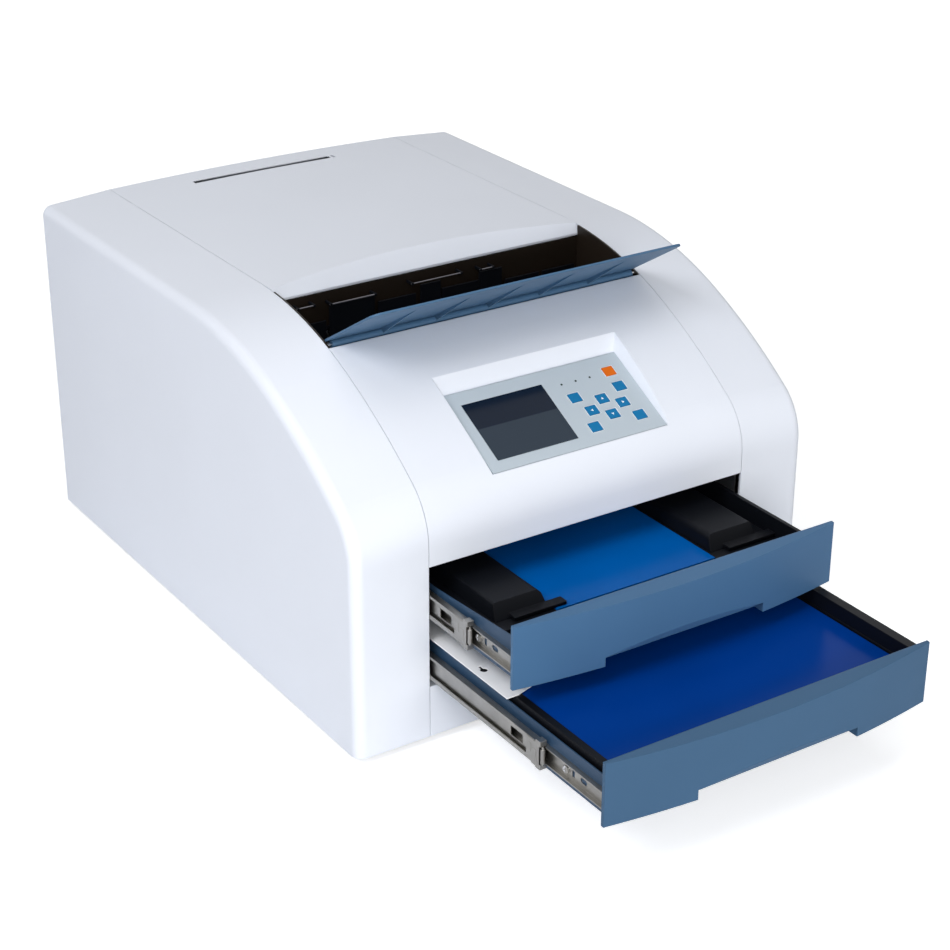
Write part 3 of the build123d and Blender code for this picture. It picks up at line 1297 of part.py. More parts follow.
rotor &= rod_y(FAN_X, fan_y0 + 3.4, fan_y0 + 21, FAN_Z, FAN_SIDE / 2 - 4)
rotor -= rod_y(FAN_X, fan_y0, fan_y0 + 18.4, FAN_Z, 3.05)
keep("fan_rotor", rotor)

SWITCH_PIN_R = 1.2
SWITCH_TILT = 9.0
SWITCH_WALL = 1.8
ROCKER_H = 6.8
flange_t = SOCKET_OUT - 1
switch_y = CASE_D + SOCKET_OUT - ROCKER_H - 0.6


def switch_box(grow, y0, y1):
    """The switch's part of the inlet moulding, grown from the panel's cut-out."""
    half_w, half_h = SWITCH_W / 2 + grow, SWITCH_H / 2 + grow
    return block(SWITCH_X - half_w, SWITCH_X + half_w, y0, y1, INLET_Z - half_h, INLET_Z + half_h)


def inlet_box(grow, y0, y1):
    """The mains socket's part of the inlet moulding, grown from the panel's cut-out."""
    half_w, half_h = INLET_W / 2 + grow, INLET_H / 2 + grow
    return block(INLET_X - half_w, INLET_X + half_w, y0, y1, INLET_Z - half_h, INLET_Z + half_h)


def power_inlet():
    """Mains socket and switch frame in one moulding, with the rocker's pin across the frame."""
    left, right = SWITCH_X - SWITCH_W / 2 - 4, INLET_X + INLET_W / 2 + 11
    body = block(left, right, CASE_D, CASE_D + flange_t, INLET_Z - 14, INLET_Z + 14)
    body += switch_box(-FIT, COVER_REAR - 16, CASE_D + 0.5)
    body += inlet_box(-FIT, COVER_REAR - 22, CASE_D + 0.5)
    body += inlet_box(1, CASE_D, CASE_D + SOCKET_OUT)
    body -= switch_box(-FIT - SWITCH_WALL, COVER_REAR - 13, CASE_D + SOCKET_OUT + 1)
    body -= inlet_box(-2, CASE_D - 14, CASE_D + SOCKET_OUT + 1)
    for pin_x in (-7, 0, 7):
        x = INLET_X + pin_x
        body += block(x - 1, x + 1, CASE_D - 15, CASE_D - 2, INLET_Z - 3, INLET_Z + 3)
    body += rod_x(SWITCH_X - SWITCH_W / 2 + 1, SWITCH_X + SWITCH_W / 2 - 1, switch_y, INLET_Z, SWITCH_PIN_R)
    return body


def rocker():
    half = SWITCH_H / 2 - SWITCH_WALL - 1.6
    points = [
        (switch_y - 4, INLET_Z - half * 0.4),
        (switch_y + ROCKER_H - 0.6, INLET_Z - half),
        (switch_y + ROCKER_H, INLET_Z),
        (switch_y + ROCKER_H - 0.6, INLET_Z + half),
        (switch_y - 4, INLET_Z + half * 0.4),
    ]
    half_w = SWITCH_W / 2 - FIT - SWITCH_WALL - 0.4
    body = yz_prism(points, SWITCH_X - half_w, SWITCH_X + half_w)
    body -= rod_x(SWITCH_X - SWITCH_W, SWITCH_X + SWITCH_W, switch_y, INLET_Z, SWITCH_PIN_R + 0.05)
    pivot = Pos(0, switch_y, INLET_Z)
    return pivot * Rot(SWITCH_TILT, 0, 0) * Pos(0, -switch_y, -INLET_Z) * body


keep("power_inlet", power_inlet())
keep("rocker_switch", rocker())

CASE_SCREW_R = 3.2
case_screws = []
screw_side = CASE_HALF - 20
for screw_x, screw_z in ((screw_side, 30), (screw_side, 200), (screw_side, 360), (120, 370), (0, 30)):
    for side in (-1, 1) if screw_x else (1,):
        case_screws.append(rod_y(side * screw_x, CASE_D, CASE_D + 1.8, screw_z, CASE_SCREW_R))
keep("case_screws", *case_screws)


for name, solids in nodes.items():
    shape = solids[0] if len(solids) == 1 else Compound(children=list(solids))
    export_step(shape, "parts/" + name + ".step")

flap_y = FLAP_PIN_Y + SHIFT_Y
flap_z = FLAP_PIN_Z + SHIFT_Z
print("row shift", SHIFT_Y, SHIFT_Z)
print("flap pin", round(flap_y, 3), round(flap_z, 3), "swing", round(FLAP_SWING, 2))
print("panel origin", tuple(round(v, 3) for v in PANEL_ORIGIN), "nodes", len(nodes))
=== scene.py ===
import math

import bmesh
import bpy
from mathutils import Matrix, Vector


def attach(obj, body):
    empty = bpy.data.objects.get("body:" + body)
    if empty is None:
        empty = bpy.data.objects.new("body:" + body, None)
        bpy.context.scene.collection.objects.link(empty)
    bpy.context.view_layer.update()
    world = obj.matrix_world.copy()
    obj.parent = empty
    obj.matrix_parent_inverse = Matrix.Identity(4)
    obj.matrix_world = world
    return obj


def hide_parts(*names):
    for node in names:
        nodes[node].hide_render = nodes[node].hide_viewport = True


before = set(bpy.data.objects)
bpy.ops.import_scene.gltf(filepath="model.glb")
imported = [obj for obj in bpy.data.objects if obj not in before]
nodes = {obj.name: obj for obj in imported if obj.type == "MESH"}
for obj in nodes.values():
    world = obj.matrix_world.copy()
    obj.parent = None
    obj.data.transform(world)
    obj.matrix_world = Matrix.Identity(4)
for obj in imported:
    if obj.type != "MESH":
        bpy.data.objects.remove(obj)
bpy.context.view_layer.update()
scene = bpy.context.scene

# The printer stands on a pale studio floor under soft light from the front, the left and above.
# The camera stands to its left and above it, at the photograph's viewing angle.

scene.view_settings.view_transform = "Standard"
camera_place = Vector((-1.2148, -1.81615, 1.2235))
camera_yaw, camera_pitch, camera_roll = math.radians(33.54), math.radians(25.65), math.radians(0.2)
camera_data = bpy.data.cameras.new("camera")
camera_data.sensor_width = 36.0
photo_width_pixels = 950.0
focal_length_pixels = 2151.0
camera_data.lens = focal_length_pixels / photo_width_pixels * camera_data.sensor_width
camera_data.clip_end = 50.0
camera = bpy.data.objects.new("camera", camera_data)
scene.collection.objects.link(camera)
turn = Matrix.Rotation(-camera_yaw, 4, "Z") @ Matrix.Rotation(math.pi / 2 - camera_pitch, 4, "X")
camera.matrix_world = Matrix.Translation(camera_place) @ turn @ Matrix.Rotation(camera_roll, 4, "Z")
scene.camera = camera


def seen_as_white(tree, shader):
    """Shows plain white to the camera and to reflections, and the given shader to all other light."""
    path = tree.nodes.new("ShaderNodeLightPath")
    direct = tree.nodes.new("ShaderNodeMath")
    direct.operation = "MAXIMUM"
    tree.links.new(path.outputs["Is Camera Ray"], direct.inputs[0])
    tree.links.new(path.outputs["Is Transmission Ray"], direct.inputs[1])
    either = tree.nodes.new("ShaderNodeMath")
    either.operation = "MAXIMUM"
    tree.links.new(direct.outputs[0], either.inputs[0])
    tree.links.new(path.outputs["Is Glossy Ray"], either.inputs[1])
    white = tree.nodes.new("ShaderNodeBackground")
    white.inputs["Color"].default_value = (1.0, 1.0, 1.0, 1.0)
    mix = tree.nodes.new("ShaderNodeMixShader")
    tree.links.new(either.outputs[0], mix.inputs["Fac"])
    tree.links.new(shader.outputs[0], mix.inputs[1])
    tree.links.new(white.outputs[0], mix.inputs[2])
    return mix


world = bpy.data.worlds.new("studio")
world.use_nodes = True
scene.world = world
sky = world.node_tree.nodes["Background"]
sky.inputs["Color"].default_value = (0.94, 0.97, 1.0, 1.0)
sky.inputs["Strength"].default_value = 0.1
world.node_tree.links.new(
    seen_as_white(world.node_tree, sky).outputs[0], world.node_tree.nodes["World Output"].inputs["Surface"]
)


def soft_lamp(name, place, target, size, watts, tint):
    """A large soft box aimed at a point."""
    data = bpy.data.lights.new(name, "AREA")
    data.shape = "RECTANGLE"
    data.size, data.size_y = size
    data.energy = watts
    data.color = tint
    lamp = bpy.data.objects.new(name, data)
    aim = (Vector(target) - Vector(place)).to_track_quat("-Z", "Y")
    lamp.matrix_world = Matrix.Translation(place) @ aim.to_matrix().to_4x4()
    scene.collection.objects.link(lamp)


soft_lamp("low_front_box", (-0.5, -3.4, 0.85), (0, 0, 0.2), (2.0, 1.2), 54.0, (1.0, 1.0, 1.0))
soft_lamp("camera_side_box", (-1.8, -3.0, 2.2), (0, 0, 0.2), (2.0, 2.0), 29.0, (1.0, 1.0, 1.0))
soft_lamp("high_left_box", (-2.2, -0.8, 2.8), (0, 0, 0.2), (1.6, 1.6), 50.0, (0.98, 0.99, 1.02))
soft_lamp("left_box", (-3.4, 0.2, 1.5), (0, 0.1, 0.2), (2.4, 2.0), 9.0, (0.96, 0.98, 1.04))
soft_lamp("top_box", (0.0, 0.6, 3.4), (0, 0.1, 0.3), (2.6, 2.6), 22.0, (0.98, 0.99, 1.02))

floor_mesh = bpy.data.meshes.new("floor")
floor_half = 6.0
floor_corners = [(x * floor_half, y * floor_half, 0) for x, y in ((-1, -1), (1, -1), (1, 1), (-1, 1))]
floor_mesh.from_pydata(floor_corners, [], [(0, 1, 2, 3)])
floor = bpy.data.objects.new("floor", floor_mesh)
scene.collection.objects.link(floor)
floor_paint = bpy.data.materials.new("floor_paint")
floor_paint.use_nodes = True
tree = floor_paint.node_tree
base = tree.nodes["Principled BSDF"]
base.inputs["Base Color"].default_value = (0.92, 0.93, 0.95, 1.0)
base.inputs["Roughness"].default_value = 0.9
glow = tree.nodes.new("ShaderNodeEmission")
path = tree.nodes.new("ShaderNodeLightPath")
tree.links.new(path.outputs["Is Camera Ray"], glow.inputs["Strength"])
spot = tree.nodes.new("ShaderNodeTexCoord")
reach = tree.nodes.new("ShaderNodeVectorMath")
reach.operation = "LENGTH"
paler = tree.nodes.new("ShaderNodeMapRange")
paler.inputs["From Min"].default_value = 1.0
paler.inputs["From Max"].default_value = 2.6
paler.inputs["To Min"].default_value = 0.6
paler.inputs["To Max"].default_value = 1.0
tree.links.new(spot.outputs["Object"], reach.inputs[0])
tree.links.new(reach.outputs["Value"], paler.inputs["Value"])
tree.links.new(paler.outputs["Result"], glow.inputs["Color"])
both = tree.nodes.new("ShaderNodeAddShader")
tree.links.new(base.outputs[0], both.inputs[0])
tree.links.new(glow.outputs[0], both.inputs[1])
tree.links.new(both.outputs[0], tree.nodes["Material Output"].inputs["Surface"])
floor_mesh.materials.append(floor_paint)


# Casing covers: two side shells, the top cover, the front cover and the strip under the drawers.
# White moulded plastic with a fine satin texture, screwed to the chassis and to each other with
# narrow dark joints left between them.


def linear(hex_colour):
    """A written colour, such as 4C7399, as the shader takes it."""
    parts = [int(hex_colour[i : i + 2], 16) / 255 for i in (0, 2, 4)]
    return tuple(p / 12.92 if p <= 0.04045 else ((p + 0.055) / 1.055) ** 2.4 for p in parts) + (1.0,)


def new_finish(name, roughness, metallic=0.0):
    """A material with its principled shader and the object's coordinates."""
    finish = bpy.data.materials.new(name)
    finish.use_nodes = True
    shader = finish.node_tree.nodes["Principled BSDF"]
    shader.inputs["Roughness"].default_value = roughness
    shader.inputs["Metallic"].default_value = metallic
    place = finish.node_tree.nodes.new("ShaderNodeTexCoord").outputs["Object"]
    return finish, finish.node_tree, shader, place


def noise(tree, place, scale, detail=3.0, stretch=(1.0, 1.0, 1.0)):
    """Noise in the object's coordinates, stretched along an axis where a tool or a mould leaves lines."""
    mapping = tree.nodes.new("ShaderNodeMapping")
    mapping.inputs["Scale"].default_value = stretch
    tree.links.new(place, mapping.inputs["Vector"])
    texture = tree.nodes.new("ShaderNodeTexNoise")
    texture.inputs["Scale"].default_value = scale
    texture.inputs["Detail"].default_value = detail
    tree.links.new(mapping.outputs["Vector"], texture.inputs["Vector"])
    return texture.outputs["Fac"]


def between(tree, factor, low, high):
    """A colour that drifts between two tones."""
    ramp = tree.nodes.new("ShaderNodeValToRGB")
    ramp.color_ramp.elements[0].position = 0.35
    ramp.color_ramp.elements[0].color = low
    ramp.color_ramp.elements[1].position = 0.65
    ramp.color_ramp.elements[1].color = high
    tree.links.new(factor, ramp.inputs["Fac"])
    return ramp.outputs["Color"]


def spread(tree, factor, low, high):
    """A number that drifts between two values."""
    scale = tree.nodes.new("ShaderNodeMapRange")
    scale.inputs["To Min"].default_value = low
    scale.inputs["To Max"].default_value = high
    tree.links.new(factor, scale.inputs["Value"])
    return scale.outputs["Result"]


def relief(tree, shader, height, distance, strength=1.0, edge=0.0):
    """Bump from a height, over edges softened by the mould's or the press's radius."""
    bump = tree.nodes.new("ShaderNodeBump")
    bump.inputs["Distance"].default_value = distance
    bump.inputs["Strength"].default_value = strength
    tree.links.new(height, bump.inputs["Height"])
    if edge:
        bevel = tree.nodes.new("ShaderNodeBevel")
        bevel.samples = 4
        bevel.inputs["Radius"].default_value = edge
        tree.links.new(bevel.outputs["Normal"], bump.inputs["Normal"])
    tree.links.new(bump.outputs["Normal"], shader.inputs["Normal"])


def tone(hex_colour, factor):
    """A written colour made lighter or darker."""
    return tuple(min(1.0, c * factor) for c in linear(hex_colour)[:3]) + (1.0,)


def drifting(tree, shader, factor, colour, darkest, lightest):
    """Lets the base colour drift between two tones of itself."""
    drift = between(tree, factor, tone(colour, darkest), tone(colour, lightest))
    tree.links.new(drift, shader.inputs["Base Color"])


def moulded(
    name, colour, roughness, grain=0.00002, grain_scale=1400.0, edge=0.0008, drift=0.03, shine=0.5
):
    """Moulded plastic: a fine sprayed or etched grain, and a faint drift of colour and gloss."""
    finish, tree, shader, place = new_finish(name, roughness)
    drifting(tree, shader, noise(tree, place, 7.0, 2.0), colour, 1 - drift, 1 + drift)
    gloss = spread(tree, noise(tree, place, 60.0, 3.0), roughness - 0.04, roughness + 0.04)
    tree.links.new(gloss, shader.inputs["Roughness"])
    shader.inputs["Specular IOR Level"].default_value = shine
    relief(tree, shader, noise(tree, place, grain_scale, 2.0), grain, 0.6, edge)
    return finish


def dress(finish, *names):
    """Gives a finish to CAD nodes that keep their own shape."""
    for name in names:
        mesh = nodes[name].data
        mesh.materials.clear()
        mesh.materials.append(finish)


white_plastic = moulded("white_plastic", "E9EDF5", 0.4, grain=0.000015, edge=0.0012, drift=0.006, shine=0.35)
dress(white_plastic, "left_side_cover", "right_side_cover", "top_cover", "front_cover", "lower_front_strip")


# Control panel: a pale grey overlay on a moulded plate in a bevelled recess, a dark display, membrane keys
# with light borders and white arrows, and three small indicator lamps.

# Heights and depths are from the casing's lower front edge, which stands here in the frame.
casing_edge = Vector((0.0, -0.20575, 0.008))
panel_front = Vector((0.0, 0.020, 0.27143)) + casing_edge
panel_lean = math.radians(27.4)
panel_turn = Matrix.Translation(panel_front) @ Matrix.Rotation(panel_lean, 4, "X")
key_size = (0.0135, 0.012)
key_rise = 0.0005
key_centre = (0.0602, 0.043)
key_pitch = (0.0202, 0.0111)
border_width = 0.0009
border_thickness = 0.0001
border_gap = 0.0008
border_height = 0.00004
arrow_radius = 0.0019
arrow_thickness = 0.00008


def new_input(tree, name, kind):
    """A named input of a node tree."""
    tree.interface.new_socket(name, in_out="INPUT", socket_type="NodeSocket" + kind)


def new_tree(name, **inputs):
    """An empty geometry tree with a geometry input and output and its named inputs."""
    tree = bpy.data.node_groups.new(name, "GeometryNodeTree")
    new_input(tree, "Geometry", "Geometry")
    for label, kind in inputs.items():
        new_input(tree, label.replace("_", " "), kind)
    tree.interface.new_socket("Geometry", in_out="OUTPUT", socket_type="NodeSocketGeometry")
    return tree, tree.nodes.new("NodeGroupInput"), tree.nodes.new("NodeGroupOutput")


def end_tree(tree, last, finish, leave):
    """Makes the instances real, gives them their finish and hands them out."""
    real = tree.nodes.new("GeometryNodeRealizeInstances")
    paint = tree.nodes.new("GeometryNodeSetMaterial")
    paint.inputs["Material"].default_value = finish
    tree.links.new(last, real.inputs[0])
    tree.links.new(real.outputs[0], paint.inputs["Geometry"])
    tree.links.new(paint.outputs["Geometry"], leave.inputs[0])


def new_piece(name, mesh):
    """A piece whose object sits at the origin, with its place in its mesh."""
    piece = bpy.data.objects.new(name, mesh)
    scene.collection.objects.link(piece)
    return piece


def settle(piece):
    """Turns what the modifiers make into the piece's own plain mesh."""
    graph = bpy.context.evaluated_depsgraph_get()
    mesh = bpy.data.meshes.new_from_object(piece.evaluated_get(graph))
    piece.modifiers.clear()
    piece.data = mesh


def grow(piece, tree, **sizes):
    """Runs a tree over a piece's points with its sizes set."""
    modifier = piece.modifiers.new(tree.name, "NODES")
    modifier.node_group = tree
    for socket in tree.interface.items_tree:
        label = socket.name.replace(" ", "_")
        if socket.in_out == "INPUT" and label in sizes:
            modifier[socket.identifier] = sizes[label]
    settle(piece)


def points_mesh(name, points, edges=()):
    """A mesh of bare points or lines that a tree works on."""
    mesh = bpy.data.meshes.new(name)
    mesh.from_pydata([tuple(point) for point in points], list(edges), [])
    return mesh


def give(piece, body):
    """Puts a finished piece on its body."""
    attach(piece, body)


def flat_print(name, colour, roughness=0.45):
    """Screen print: an even ink with a faint drift from the mesh it is pressed through."""
    finish, tree, shader, place = new_finish(name, roughness)
    drifting(tree, shader, noise(tree, place, 900.0, 1.0), colour, 0.97, 1.03)
    return finish


panel_grey = moulded("panel_overlay", "BBC6CE", 0.42, grain=0.00001, edge=0.0012, drift=0.01, shine=0.3)
dress(panel_grey, "control_panel_plate")


def display_finish():
    """Display window: dark glass with a painted reflection band, lighter in its lower part and darker in its
    upper part.
    """
    finish, tree, shader, place = new_finish("display_window", 0.1)
    shader.inputs["Specular IOR Level"].default_value = 0.15
    parts = tree.nodes.new("ShaderNodeSeparateXYZ")
    tree.links.new(place, parts.inputs[0])
    height = tree.nodes.new("ShaderNodeMapRange")
    height.inputs["From Min"].default_value = 0.3046
    height.inputs["From Max"].default_value = 0.3066
    tree.links.new(parts.outputs["Z"], height.inputs["Value"])
    # Painted reflection: the glass is made lighter towards its bottom and darker towards its top.
    depth = between(tree, height.outputs["Result"], linear("2F3A46"), linear("111D2E"))
    tree.links.new(depth, shader.inputs["Base Color"])
    tree.links.new(spread(tree, noise(tree, place, 40.0), 0.08, 0.14), shader.inputs["Roughness"])
    return finish


dress(display_finish(), "lcd_screen")
key_feel = {"grain": 0.00001, "edge": 0.0006, "drift": 0.04, "shine": 0.2}
key_blue = moulded("key_blue", "0B72A6", 0.4, **key_feel)
key_orange = moulded("key_orange", "E06A08", 0.4, **key_feel)
for name in nodes:
    if name.startswith("key_") and name != "key_board":
        dress(key_orange if name == "key_orange" else key_blue, name)
lamp_lens = moulded("lamp_lens", "3E4A48", 0.15, edge=0.0002)
dress(lamp_lens, "indicator_lamps")
board_green = moulded("board_lacquer", "1E5B3A", 0.3)
dress(board_green, "key_board", "main_board")

key_places = {"key_up": (0, 1), "key_down": (0, -1), "key_left": (-1, 0), "key_right": (1, 0)}
corner_column = 1.46
corner_row = 2 - 0.001 / key_pitch[1]
for side, label in ((-corner_column, "left"), (corner_column, "right")):
    key_places["key_upper_" + label] = (side, corner_row)
    key_places["key_lower_" + label] = (side, -corner_row)
key_places["key_orange"] = (corner_column, 4 - 0.0012 / key_pitch[1])


def key_middle(name, height):
    """A point at a height above the panel, over the middle of a key."""
    column, line = key_places[name]
    across = key_centre[0] + column * key_pitch[0]
    up = key_centre[1] + line * key_pitch[1]
    return panel_turn @ Vector((across, up, height))


def border_tree(finish):
    """A thin frame round each point."""
    tree, come, leave = new_tree("key_borders", Width="Float", Length="Float", Line="Float", Lean="Float")
    frame_line = tree.nodes.new("GeometryNodeCurvePrimitiveQuadrilateral")
    section = tree.nodes.new("GeometryNodeCurvePrimitiveQuadrilateral")
    section.inputs["Width"].default_value = border_thickness
    sweep = tree.nodes.new("GeometryNodeCurveToMesh")
    place = tree.nodes.new("GeometryNodeInstanceOnPoints")
    angle = tree.nodes.new("ShaderNodeCombineXYZ")
    tree.links.new(come.outputs["Width"], frame_line.inputs["Width"])
    tree.links.new(come.outputs["Length"], frame_line.inputs["Height"])
    tree.links.new(come.outputs["Line"], section.inputs["Height"])
    tree.links.new(come.outputs["Lean"], angle.inputs["X"])
    tree.links.new(frame_line.outputs[0], sweep.inputs["Curve"])
    tree.links.new(section.outputs[0], sweep.inputs["Profile Curve"])
    tree.links.new(come.outputs["Geometry"], place.inputs["Points"])
    tree.links.new(sweep.outputs[0], place.inputs["Instance"])
    tree.links.new(angle.outputs[0], place.inputs["Rotation"])
    end_tree(tree, place.outputs[0], finish, leave)
    return tree


# The light borders round the key windows are an even pale colour with a faint drift.
border_print = flat_print("border_print", "F2F8FC")
border_spots = [key_middle(name, border_height) for name in key_places]
borders = new_piece("key_borders", points_mesh("key_borders", border_spots))
grow(
    borders,
    border_tree(border_print),
    Width=key_size[0] + 2 * border_gap,
    Length=key_size[1] + 2 * border_gap,
    Line=border_width,
    Lean=panel_lean,
)
give(borders, "casing")

arrow_print = flat_print("arrow_print", "F2F6F8")
arrow_turns = {"key_up": 0, "key_left": 90, "key_down": 180, "key_right": 270}
for name, degrees in arrow_turns.items():
    bm = bmesh.new()
    corners = []
    for corner in (90, 210, 330):
        direction = math.radians(corner + degrees)
        across, up = arrow_radius * math.cos(direction), arrow_radius * math.sin(direction)
        corners.append(Vector((across, up, 0.0)))
    bottom = [bm.verts.new(corner) for corner in corners]
    top = [bm.verts.new(corner + Vector((0, 0, arrow_thickness))) for corner in corners]
    bm.faces.new(top)
    bm.faces.new(bottom[::-1])
    for i in range(3):
        bm.faces.new((bottom[i], bottom[(i + 1) % 3], top[(i + 1) % 3], top[i]))
    spot = Matrix.Translation(key_middle(name, key_rise)) @ Matrix.Rotation(panel_lean, 4, "X")
    bm.transform(spot)
    mesh = bpy.data.meshes.new(name + "_arrow")
    bm.to_mesh(mesh)
    bm.free()
    mesh.materials.append(arrow_print)
    give(new_piece(name + "_arrow", mesh), name + "_cap")


# Film exit: a dark duct with black guide plates, and the blue-grey flap. The drawers' fascias are moulded in
# the same blue-grey, painted lighter on the upper fascia and darker on the lower one as painted light and
# shade.

coarse = {"grain": 0.00003, "grain_scale": 900.0, "edge": 0.001, "drift": 0.1}
black_plastic = moulded("black_plastic", "0D0F14", 0.45, shine=0.12, **coarse)
dress(black_plastic, "exit_guide_plates")
# Brownish black duct plastic. Its colour is partly the plastic's own tint and partly painted light, raised
# so that the lit wall shows.
duct_plastic = moulded("duct_plastic", "231C16", 0.4, shine=0.2, **coarse)
dress(duct_plastic, "exit_duct")
# Painted light and shade: the fascias are one blue-grey plastic, with the upper fascia's copy painted
# lighter and the lower one's painted darker.
lit_upper_blue_grey = moulded("blue_grey_plastic", "476C90", 0.42, edge=0.001, shine=0.2)
dress(lit_upper_blue_grey, "upper_fascia")
lower_blue_grey = moulded("lower_blue_grey", "3E5F7E", 0.42, edge=0.001, shine=0.2)
dress(lower_blue_grey, "lower_fascia")
flap_blue = moulded("flap_blue", "4A6A88", 0.45, edge=0.001, shine=0.2)
dress(flap_blue, "exit_flap")


# Drawers: trays folded from sheet steel and painted blue-grey, a moulded black film deck above and
# film cassette below, stacks of blue film, and the light painted plate that holds the large film.


def painted_steel(name, colour, roughness):
    """Powder coat on sheet steel, with its slight orange peel."""
    finish, tree, shader, place = new_finish(name, roughness)
    shader.inputs["Specular IOR Level"].default_value = 0.3
    drifting(tree, shader, noise(tree, place, 9.0, 2.0), colour, 0.95, 1.05)
    relief(tree, shader, noise(tree, place, 700.0, 2.0), 0.00003, 0.5, 0.0004)
    return finish


tray_paint = painted_steel("tray_paint", "304B67", 0.35)
dress(tray_paint, "upper_tray", "lower_tray")
dress(black_plastic, "lower_film_cassette", "upper_film_deck", "film_guide_blocks")
film_coat = {"grain": 0.0, "edge": 0.0004, "drift": 0.05, "shine": 0.05}
# Painted light and shade: both stacks are the same blue film, with the upper stack's copy painted lighter
# and the lower stack's painted darker.
upper_film_blue = moulded("upper_film_blue", "0062B6", 0.22, **film_coat)
dress(upper_film_blue, "upper_film_stack")
lower_film_blue = moulded("lower_film_blue", "003C92", 0.22, **film_coat)
dress(lower_film_blue, "lower_film_stack")
plate_paint = painted_steel("plate_paint", "FCFDFF", 0.4)
dress(plate_paint, "lower_film_hold_plate")


# Ball-bearing slides: zinc-plated rolled steel in three members. The middle member is rolled with
# lips for two rows of balls above and two below, pierced with a window near its front, and closed
# there by a pressed bracket with the latch lever.

slide_wall = 0.204
slide_length = 0.5
# For each drawer: the front ends of its middle and drawer members, and how far back its cage starts.
slide_rows = (
    {"drawer": "upper", "front": -0.067, "drawer_front": -0.1446, "height": 0.1535, "cage_back": 0.2},
    {"drawer": "lower", "front": -0.194, "drawer_front": -0.2946, "height": 0.0825, "cage_back": 0.26},
)
# The rolled section in millimetres: inwards from the chassis wall, and up from the slide's middle.
middle_section = (
    (2.2, 13.5),
    (9.5, 13.5),
    (9.5, 12.3),
    (6.7, 12.3),
    (6.7, -12.3),
    (9.5, -12.3),
    (9.5, -13.5),
    (2.2, -13.5),
    (2.2, -8.6),
    (3.2, -8.6),
    (3.2, -12.3),
    (5.5, -12.3),
    (5.5, 12.3),
    (3.2, 12.3),
    (3.2, 10.4),
    (2.2, 10.4),
)
window_back, window_length, window_height = 0.042, 0.0206, 0.010
window_depth = (0.004, 0.0082)

# Balls run in two rows above and two below: the outer ones behind a cage, the inner ones in the lips.
ball_radius, ball_pitch = 0.00125, 0.0062
outer_balls = {"across": 0.006, "up": 0.0149}
inner_balls = {"across": 0.00825, "up": 0.0109, "back": 0.03}
balls_rear_gap = 0.008
cage_across, cage_up = (0.0044, 0.0076), (0.0147, 0.0151)
cage_lap, cage_rear_gap = 0.006, 0.01

# The latch bracket's plates and rivets: across from the wall, along from the member's front, and up.
latch_plates = (
    ((0.0016, 0.0024), (-0.001, 0.012), (-0.0142, 0.0128)),
    ((0.0016, 0.0024), (0.0115, 0.0205), (-0.0092, 0.0128)),
    ((0.0013, 0.0018), (0.0035, 0.0095), (-0.0086, 0.0044)),
    ((0.0013, 0.0018), (0.0125, 0.0165), (-0.0022, 0.0078)),
)
jaw_across, jaw_along, jaw_up = (0.0018, 0.0095), (-0.003, 0.005), (0.0101, 0.01595)
lever_across, lever_along = 0.0042, -0.0042
lever_bars = ((0.0082, 0.0023), (0.0104, 0.0011))


def plated_steel(name, colour, roughness, stretch):
    """Zinc-plated rolled steel with fine lines along the rolling direction."""
    finish, tree, shader, place = new_finish(name, roughness, 1.0)
    lines = noise(tree, place, 500.0, 3.0, stretch)
    drifting(tree, shader, noise(tree, place, 30.0, 3.0), colour, 0.88, 1.06)
    tree.links.new(spread(tree, lines, roughness - 0.07, roughness + 0.09), shader.inputs["Roughness"])
    relief(tree, shader, lines, 0.00002, 0.5, 0.0003)
    return finish


slide_steel = plated_steel("slide_steel", "A6A4A0", 0.32, (1.0, 0.04, 1.0))
ball_steel = plated_steel("ball_steel", "D0D1D3", 0.12, (1.0, 1.0, 1.0))
dress(slide_steel, "slide_cabinet_members", "upper_slide_drawer_members", "lower_slide_drawer_members")


def moved(span, start):
    """A pair of low and high values, counted from a start."""
    return start + span[0], start + span[1]


def side_block(bm, side, across, along, up):
    """A box in a slide between two values each way, across being inwards from the chassis wall."""
    made = bmesh.ops.create_cube(bm, size=1.0)["verts"]
    middle = Vector((side * (slide_wall - sum(across) / 2), sum(along) / 2, sum(up) / 2)) + casing_edge
    lengths = [abs(high - low) for low, high in (across, along, up)]
    stretch = Matrix.Diagonal((*lengths, 1.0))
    bmesh.ops.transform(bm, matrix=Matrix.Translation(middle) @ stretch, verts=made)


def rolled_member(bm, side, front, height):
    """The middle member's rolled section carried along its length."""
    ends = []
    for y in (front, front + slide_length):
        ring = []
        for u, z in middle_section:
            x = side * (slide_wall - u / 1000)
            ring.append(bm.verts.new(Vector((x, y, height + z / 1000)) + casing_edge))
        ends.append(ring)
    count = len(middle_section)
    bm.faces.new(ends[0])
    bm.faces.new(ends[1][::-1])
    for i in range(count):
        bm.faces.new((ends[0][i], ends[1][i], ends[1][(i + 1) % count], ends[0][(i + 1) % count]))


def mesh_from(bm, name, finish):
    """Closes a worked mesh with its faces pointing outwards."""
    bmesh.ops.recalc_face_normals(bm, faces=bm.faces)
    mesh = bpy.data.meshes.new(name)
    bm.to_mesh(mesh)
    bm.free()
    mesh.materials.append(finish)
    return mesh


